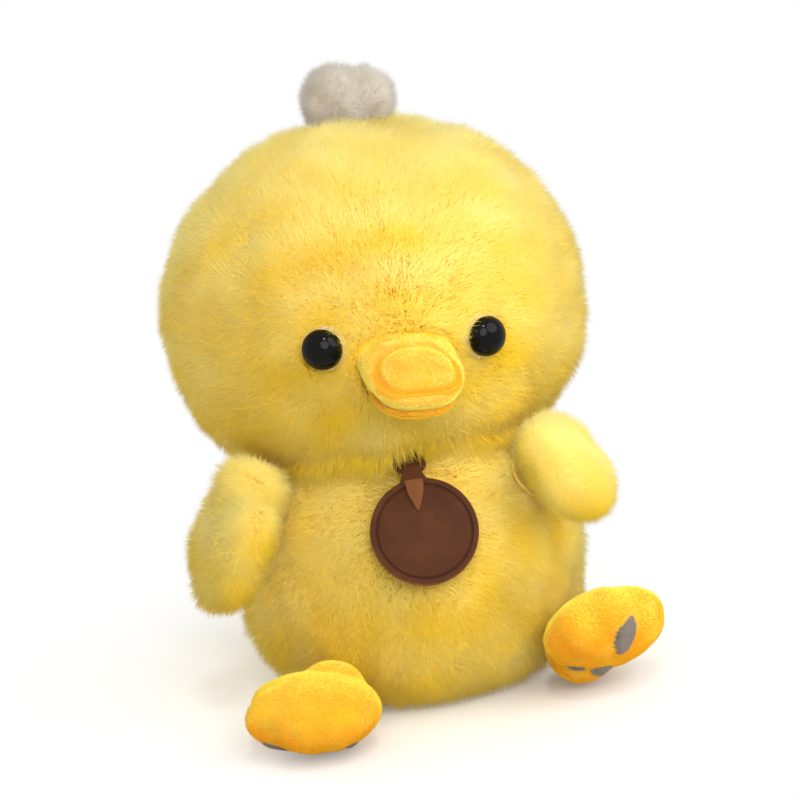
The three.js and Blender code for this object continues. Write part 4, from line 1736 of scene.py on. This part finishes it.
@dataclass
class Torso:
    """The fur torso with its seat panel, stuffing and bead pouch."""

    feet: list[FootForm]
    fibres: int = 205000
    seed: int = 131
    lump_size: float = 40.0
    lump_depth: float = 0.7
    fill_inset: float = 2.5
    fill_lump_size: float = 15.0
    fill_lump_depth: float = 0.9
    crown: float = 34.0
    seat_height: float = 7.5
    seat_overlap: float = 1.0
    ankle_overlap: float = 0.5
    seat_gap: float = 0.3
    seat_thickness: float = 3.2
    seat_fibres: int = 9000
    seat_seed: int = 151
    pouch_radius: float = 28.0
    pouch_height: float = 19.0
    pouch_gap: float = 2.8
    bead_size: float = 4.0
    bead_depth: float = 0.35
    seat_pile: Pile = Pile(length=4.0, root_radius=0.2, lean=76.0, lean_change=5.0, droop=6.0, root_depth=0.3)

    def keep(self, points: Points) -> np.ndarray:
        """Where the torso's fur grows: not below the head, the ankles or the seat.

        Args:
            points: Roots.

        Returns:
            A mask.
        """
        away = points - NECK
        head = HEAD.centre @ turn_matrix("Z", HEAD.turn).T
        grows = np.degrees(np.arccos(np.clip(unit(away) @ unit(head), -1.0, 1.0))) > self.crown
        in_seat = np.hypot(points[:, 0], points[:, 1]) < TORSO.seat_radius - self.seat_overlap
        grows &= ~(in_seat & (points[:, 2] < self.seat_height))
        for foot in self.feet:
            grows &= np.linalg.norm(points - foot.ankle, axis=1) > foot.ankle_radius - self.ankle_overlap
        return grows

    def settle(self, points: Points) -> Points:
        """Keeps fibres above the floor and below the tag."""
        return above_floor(TAG_PLACE.press(points))

    def seat(self) -> None:
        """Makes the flat seat panel and the bent fibres below it, which lie from its middle to its edge."""
        edge, thick = TORSO.seat_radius - self.seat_gap, self.seat_thickness
        profile = [[0.0, 1.0], [0.5 * edge, 1.0], [edge - 1.2, 1.05], [edge - 0.3, 1.5], [edge, 2.2],
                   [edge - 0.4, 3.0], [edge - 1.5, thick + 0.4], [0.5 * edge, thick + 1.2],
                   [0.0, thick + 1.4]]
        panel = make_piece("seat_panel_skin", turned(np.array(profile), 72))
        stuffed(panel, YELLOW_GROUND, Slot.YELLOW_FUR, "torso", 0.4, "seat_panel")

        def outward(points: Points) -> Points:
            """Directions from the middle to the edge."""
            return unit(points * [1.0, 1.0, 0.0])

        def underside(points: Points) -> np.ndarray:
            """Whether roots lie below the panel."""
            return points[:, 2] < thick - 1.0

        fleece = Fleece("seat_panel_fur", panel, self.seat_pile, self.seat_fibres, self.seat_seed, outward,
                        underside, above_floor, bent=True)
        dress_fleece(fleece, YELLOW_FIBRE, Slot.YELLOW_FUR, "torso")

    def pouch(self) -> None:
        """Makes the bag of beads in the seat."""
        points, faces = ball(5)
        beads = Ripple(self.bead_size, 31)
        high = np.where(points[:, 2] > 0.0, points[:, 2] * self.pouch_height, 0.0)
        bag = np.column_stack([points[:, :2] * self.pouch_radius, high])
        bag[:, 2] += np.where(points[:, 2] > 0.05, self.bead_depth * beads.at(bag), 0.0)
        lift = TORSO.skin_depth + self.pouch_gap
        piece = make_piece("bead_pouch", (bag + [0.0, 0.0, lift], faces))
        stuffed(piece, BEAN_CLOTH, Slot.BEAN_CLOTH, "torso", 0.7, "bean_pouch")

    def build(self) -> None:
        """Makes the torso's skin, stuffing, seat, pouch and fur, which hangs down."""
        lumps = Ripple(self.lump_size, 21)
        skin = make_piece("torso_skin", TORSO.skin(TORSO.skin_depth, lumps, self.lump_depth, 6))
        stuffed(skin, YELLOW_GROUND, Slot.YELLOW_FUR, "torso", 0.8, "body_cover")
        lumps = Ripple(self.fill_lump_size, 22)
        inner = TORSO.skin(TORSO.skin_depth + self.fill_inset, lumps, self.fill_lump_depth, 5)
        stuffed(make_piece("torso_fill", inner), FILL, Slot.FIBRE_FILL, "torso", 0.8, "body_stuffing")
        # Painted light: the torso's fur is paler where it faces up.
        fleece = Fleece("torso_fur", skin, FUR, self.fibres, self.seed, lay_along(-UP), self.keep,
                        self.settle, FUR_PAINTED_LIGHT)
        dress_fleece(fleece, YELLOW_FIBRE, Slot.YELLOW_FUR, "torso")
        self.seat()
        self.pouch()


@dataclass
class Tag:
    """The leather tag: a disc with a pressed ring, and a strap whose tip comes out through a slit.

    A short band between the legs of the hanger runs on from the strap into the fur.
    """

    thickness: float = 2.2
    edge_round: float = 0.45
    ring_radius: float = 16.1
    ring_width: float = 0.8
    ring_depth: float = 0.45
    sides: int = 120
    strap_width: float = 6.4
    neck_width: float = 9.5
    strap_thickness: float = 1.2
    strap_start: float = 0.9
    strap_slit: float = 1.6
    strap_tuck: float = 0.55
    flare_share: float = 0.22
    loop_radius: float = 1.75
    edge_bevel: float = 0.18
    tip_slit: float = 2.2
    tip_length: float = 9.0
    tip_width: float = 6.2
    tip_thickness: float = 0.9
    # Rows of the tip: share of its length above the slit, height over the face, share of its width
    tip_rows: tuple[Triple, ...] = ((0.24, -0.3, 1.0), (0.0, 0.55, 1.0), (-0.35, 0.75, 0.85),
                                    (-0.62, 0.62, 0.55), (-0.85, 0.5, 0.28), (-1.0, 0.42, 0.06))
    band_distance: float = 64.4
    band_gap: float = 0.7
    band_reach: float = 12.0
    band_thickness: float = 1.0
    band_rows: int = 8

    def disc(self) -> None:
        """Makes the disc, with a raw edge and a dark pressed ring."""
        radius, thick, soft = TAG_PLACE.radius, self.thickness, self.edge_round
        corner = np.linspace(0.0, np.pi / 2.0, 5)
        profile = [[0.0, 0.0], [0.6 * radius, 0.0]]
        profile += [[radius - soft + soft * np.sin(a), soft - soft * np.cos(a)] for a in corner]
        profile += [[radius - soft + soft * np.cos(a), thick - soft + soft * np.sin(a)] for a in corner]
        outer, inner = self.ring_radius + self.ring_width / 2.0, self.ring_radius - self.ring_width / 2.0
        slope = [(0.25, 0.0), (0.0, -0.08), (-0.15, -self.ring_depth)]
        profile += [[outer + away, thick + drop] for away, drop in slope]
        profile += [[inner - away, thick + drop] for away, drop in reversed(slope)]
        profile += [[0.5 * radius, thick + 0.12], [0.0, thick + 0.15]]
        points, faces = turned(np.array(profile), self.sides)
        piece = make_piece("tag_disc", (TAG_PLACE.world(points), faces))
        dress(piece, LEATHER, Slot.BROWN_LEATHER, "tag", "tag_leather")
        for finish in (RAW_LEATHER, BURNT_LEATHER):
            piece.data.materials.append(material_of(finish))
        for polygon in piece.data.polygons:
            corners = points[list(polygon.vertices)]
            reach = np.hypot(corners[:, 0], corners[:, 1]).mean()
            level = corners[:, 2].mean()
            if reach > radius - 0.75 * soft:
                polygon.material_index = 1
            elif abs(reach - self.ring_radius) < self.ring_width / 2.0 and level > 0.5 * thick:
                polygon.material_index = 2

    def strip(self, name: str, path: Points, widths: np.ndarray, thickness: float) -> bpy.types.Object:
        """Sweeps a flat leather strip along a path in the tag's upright middle plane.

        Args:
            name: Name of the piece.
            path: Rows of height and depth.
            widths: Width at each row.
            thickness: Thickness of the leather.

        Returns:
            The piece.
        """
        along = unit(np.gradient(path, axis=0))
        normal = np.column_stack([-along[:, 1], along[:, 0]])
        offsets = [(-0.5, -0.5), (0.5, -0.5), (0.5, 0.5), (-0.5, 0.5)]
        points = []
        for place, side, width in zip(path, normal, widths):
            for across, up in offsets:
                height, depth = place + side * up * thickness
                points.append([across * width - TAG_PLACE.offset, height, depth])
        last = 4 * (len(path) - 1)
        faces = [[3, 2, 1, 0], [last, last + 1, last + 2, last + 3]]
        for start in range(0, last, 4):
            for i in range(4):
                j = (i + 1) % 4
                faces.append([start + i, start + j, start + 4 + j, start + 4 + i])
        piece = make_piece(name, (TAG_PLACE.world(np.array(points)), faces))
        bevel = piece.modifiers.new("soft_edges", "BEVEL")
        bevel.width = self.edge_bevel * MM
        bevel.segments = 2
        bevel.limit_method = "ANGLE"
        return keep_result(piece)

    def strap_path(self) -> Points:
        """The strap's way: up from the disc, over the hanger bar and down behind the disc.

        Returns:
            Rows of height and depth in the tag's own frame.
        """
        bar_rise, bar_depth = TAG_PLACE.bar_rise, TAG_PLACE.bar_depth
        slit = TAG_PLACE.radius - self.strap_slit
        rise = np.linspace(slit, bar_rise, 7)
        share = smooth_step(slit, bar_rise, rise)
        start = (1.0 - share) * self.strap_start * self.thickness
        front = np.column_stack([rise, start + share * (bar_depth + self.loop_radius)])
        angles = np.linspace(0.0, np.pi, 13)[1:-1]
        over = np.column_stack([bar_rise + self.loop_radius * np.sin(angles),
                                bar_depth + self.loop_radius * np.cos(angles)])
        fall = np.linspace(bar_rise, slit - 1.0, 7)
        share = smooth_step(bar_rise, slit - 1.0, fall)
        end = (1.0 - share) * (bar_depth - self.loop_radius)
        back = np.column_stack([fall, end - share * self.strap_tuck])
        return np.vstack([front, over, back])

    def strap(self) -> None:
        """Makes the strap, which is wider where it leaves the disc."""
        path = self.strap_path()
        share = np.linspace(0.0, 1.0, len(path))
        flare = 1.0 - smooth_step(0.0, self.flare_share, share)
        widths = self.strap_width + (self.neck_width - self.strap_width) * flare
        piece = self.strip("tag_strap", path, widths, self.strap_thickness)
        dress(piece, LEATHER, Slot.BROWN_LEATHER, "tag")

    def tip(self) -> None:
        """Makes the strap's pointed tip, which lies on the face of the disc."""
        up, over, width = np.array(self.tip_rows).T
        heights = TAG_PLACE.radius - self.tip_slit + up * self.tip_length
        path = np.column_stack([heights, self.thickness + over])
        piece = self.strip("tag_strap_tip", path, self.tip_width * width, self.tip_thickness)
        dress(piece, RAW_LEATHER, Slot.BROWN_LEATHER, "tag")

    def band(self) -> None:
        """Makes the short band that runs on into the fur."""
        rise = np.linspace(self.loop_radius + self.band_gap, self.band_reach, self.band_rows)
        heights = TAG_PLACE.bar_rise + rise
        depths = np.sqrt(self.band_distance ** 2 - heights ** 2) - TAG_PLACE.back
        widths = np.full(self.band_rows, self.strap_width)
        piece = self.strip("tag_hanger_band", np.column_stack([heights, depths]), widths, self.band_thickness)
        dress(piece, LEATHER, Slot.BROWN_CORD, "torso")

    def build(self) -> None:
        """Makes the disc, the strap, its tip and the band."""
        self.disc()
        self.strap()
        self.tip()
        self.band()


@dataclass
class Trim:
    """Small frame nodes whose own shape is right: threads, washers and the hanger cord."""

    def build(self) -> None:
        """Gives each node its finish."""
        finishes = {"tag_hanger_loop": CORD, "neck_seam_thread": THREAD}
        for side in Side:
            finishes[f"{side.word}_eye_washer"] = WASHER_PLASTIC
            finishes[f"{side.word}_shoulder_thread"] = THREAD
        for name, finish in finishes.items():
            node = frame["nodes"][name]
            node.data.materials.clear()
            node.data.materials.append(material_of(finish))
            LOG.info("%s keeps its own shape", name)


def stance(axes: tuple[Points, Points, Points], place: Points) -> Matrix:
    """Where a camera or a lamp stands.

    Args:
        axes: Its right, its up and the way behind it, as unit vectors.
        place: Its place in millimetres.

    Returns:
        The matrix.
    """
    rows = [[axis[i] for axis in axes] + [place[i] * MM] for i in range(3)]
    return Matrix(rows + [[0.0, 0.0, 0.0, 1.0]])


@dataclass
class View:
    """The camera, at the photograph's viewing angle."""

    azimuth: float = -12.0
    elevation: float = 14.9
    roll: float = -6.8
    distance: float = 1004.0
    pixels_per_mm: float = 2.755
    across: float = -8.0
    up: float = 95.6
    back: float = 2.0
    sensor: float = 36.0
    frame_pixels: float = 800.0

    def axes(self) -> tuple[Points, Points, Points]:
        """The picture's right and up, and the way to the camera.

        Returns:
            Three unit vectors.
        """
        a, e, roll = np.radians([self.azimuth, self.elevation, self.roll])
        toward = np.array([np.sin(a) * np.cos(e), -np.cos(a) * np.cos(e), np.sin(e)])
        level = np.array([np.cos(a), np.sin(a), 0.0])
        upright = np.cross(toward, level)
        right = np.cos(roll) * level + np.sin(roll) * upright
        up = -np.sin(roll) * level + np.cos(roll) * upright
        return right, up, toward

    def build(self) -> None:
        """Makes the camera."""
        right, up, toward = self.axes()
        place = right * self.across + up * self.up + [0.0, self.back, 0.0] + toward * self.distance
        data = bpy.data.cameras.new("photo_view")
        data.sensor_width = self.sensor
        data.lens = self.pixels_per_mm * self.distance * self.sensor / self.frame_pixels
        camera = add_to_scene("photo_view", data)
        camera.matrix_world = stance((right, up, toward), place)
        bpy.context.scene.camera = camera


@dataclass(frozen=True)
class Lamp:
    """A soft area lamp, placed from the middle of the chick in the picture's own directions."""

    name: str
    right: float
    up: float
    toward: float
    size: float
    watts: float
    colour: Colour

    def build(self, view: View, target: Points) -> None:
        """Makes the lamp.

        Args:
            view: The camera's directions.
            target: What the lamp looks at.
        """
        right, up, toward = view.axes()
        place = target + right * self.right + up * self.up + toward * self.toward
        data = bpy.data.lights.new(self.name, "AREA")
        data.shape = "DISK"
        data.size = self.size * MM
        data.energy = self.watts
        data.color = self.colour
        back = unit(place - target)
        side = unit(np.cross(UP, back))
        lamp = add_to_scene(self.name, data)
        lamp.matrix_world = stance((side, np.cross(back, side), back), place)


def backdrop_rays(tree: bpy.types.NodeTree) -> bpy.types.NodeSocket:
    """Adds nodes that pick out the rays which see the backdrop as white.

    Args:
        tree: The node tree of a material or of the world.

    Returns:
        A socket that is 1 for camera, glossy and transmission rays.
    """
    ray = tree.nodes.new("ShaderNodeLightPath")
    shown = ray.outputs["Is Camera Ray"]
    for name in ("Is Glossy Ray", "Is Transmission Ray"):
        either = tree.nodes.new("ShaderNodeMath")
        either.operation = "MAXIMUM"
        tree.links.new(shown, either.inputs[0])
        tree.links.new(ray.outputs[name], either.inputs[1])
        shown = either.outputs["Value"]
    return shown


@dataclass
class Studio:
    """A pale floor, a white backdrop and soft lamps."""

    view: View
    target: Triple = (0.0, 0.0, 110.0)
    floor_half: float = 2600.0
    floor_drop: float = 0.2
    floor_colour: Colour = (0.86, 0.86, 0.86)
    fade_start: float = 0.05
    fade_end: float = 0.17
    ambient: float = 0.72
    room_colour: Colour = (1.0, 0.98, 0.88)
    lamps: tuple[Lamp, ...] = (
        Lamp("key", right=560.0, up=440.0, toward=480.0, size=760.0, watts=4.4, colour=(1.0, 0.99, 0.96)),
        Lamp("fill", right=40.0, up=170.0, toward=740.0, size=500.0, watts=2.5, colour=(1.0, 0.98, 0.94)),
        Lamp("back_light", right=-480.0, up=330.0, toward=-520.0, size=600.0, watts=3.0,
             colour=(1.0, 0.99, 0.96)),
        Lamp("eye_light", right=20.0, up=560.0, toward=600.0, size=140.0, watts=1.1, colour=(1.0, 1.0, 0.98)),
    )

    def floor(self) -> None:
        """Makes the floor, which fades into the white backdrop away from the chick."""
        plan = self.floor_half * np.array([[-1.0, -1.0], [1.0, -1.0], [1.0, 1.0], [-1.0, 1.0]])
        corners = np.column_stack([plan, np.full(len(plan), -self.floor_drop)])
        piece = make_piece("floor", (corners, [[0, 1, 2, 3]]))
        board = NodeBoard("pale_floor")
        board.constants(Base_Color=(*self.floor_colour, 1.0), Roughness=0.9, Specular_IOR_Level=0.1)
        place = board.add("TexCoord")
        length = board.add("VectorMath")
        length.operation = "LENGTH"
        board.join(place.outputs["Object"], length.inputs[0])
        fade = board.add("MapRange", From_Min=self.fade_start, From_Max=self.fade_end)
        fade.interpolation_type = "SMOOTHSTEP"
        board.join(length.outputs["Value"], fade.inputs["Value"])
        seen = board.add("Math")
        seen.operation = "MULTIPLY"
        board.join(fade.outputs["Result"], seen.inputs[0])
        board.join(backdrop_rays(board.tree), seen.inputs[1])
        white = board.add("Emission", Strength=1.0)
        mix = board.add("MixShader")
        board.join(seen.outputs["Value"], mix.inputs["Fac"])
        board.join(board.shader.outputs["BSDF"], mix.inputs[1])
        board.join(white.outputs["Emission"], mix.inputs[2])
        board.join(mix.outputs["Shader"], board.tree.nodes["Material Output"].inputs["Surface"])
        piece.data.materials.append(board.material)

    def world(self) -> None:
        """Makes the soft surrounding light, which the camera sees as white."""
        world = bpy.data.worlds.new("soft_room")
        bpy.context.scene.world = world
        world.use_nodes = True
        tree = world.node_tree
        light = tree.nodes["Background"]
        light.inputs["Color"].default_value = (*self.room_colour, 1.0)
        light.inputs["Strength"].default_value = self.ambient
        white = tree.nodes.new("ShaderNodeBackground")
        white.inputs["Strength"].default_value = 1.0
        white.inputs["Color"].default_value = (1.0, 1.0, 1.0, 1.0)
        mix = tree.nodes.new("ShaderNodeMixShader")
        tree.links.new(backdrop_rays(tree), mix.inputs["Fac"])
        tree.links.new(light.outputs["Background"], mix.inputs[1])
        tree.links.new(white.outputs["Background"], mix.inputs[2])
        tree.links.new(mix.outputs["Shader"], tree.nodes["World Output"].inputs["Surface"])

    def build(self) -> None:
        """Makes floor, backdrop and lamps."""
        self.floor()
        self.world()
        for lamp in self.lamps:
            lamp.build(self.view, np.array(self.target))


def main() -> None:
    """Builds the chick piece by piece, then its studio."""
    logging.basicConfig(level=logging.INFO, format="%(name)s: %(message)s")
    bpy.context.scene.view_settings.view_transform = "Standard"
    view = View()
    view.build()
    wings = [WingForm(Side.LEFT, raised=32.0), WingForm(Side.RIGHT, raised=6.0)]
    feet = [FootForm(Side.LEFT, lift=37.0, roll=-20.0, toe_turn=-26.0),
            FootForm(Side.RIGHT, lift=0.0, roll=0.0, toe_turn=-45.0)]
    Torso(feet).build()
    Head().build()
    for limb in (*wings, *feet):
        limb.build()
    Tag().build()
    Trim().build()
    Studio(view).build()


if __name__ == "__main__":
    main()
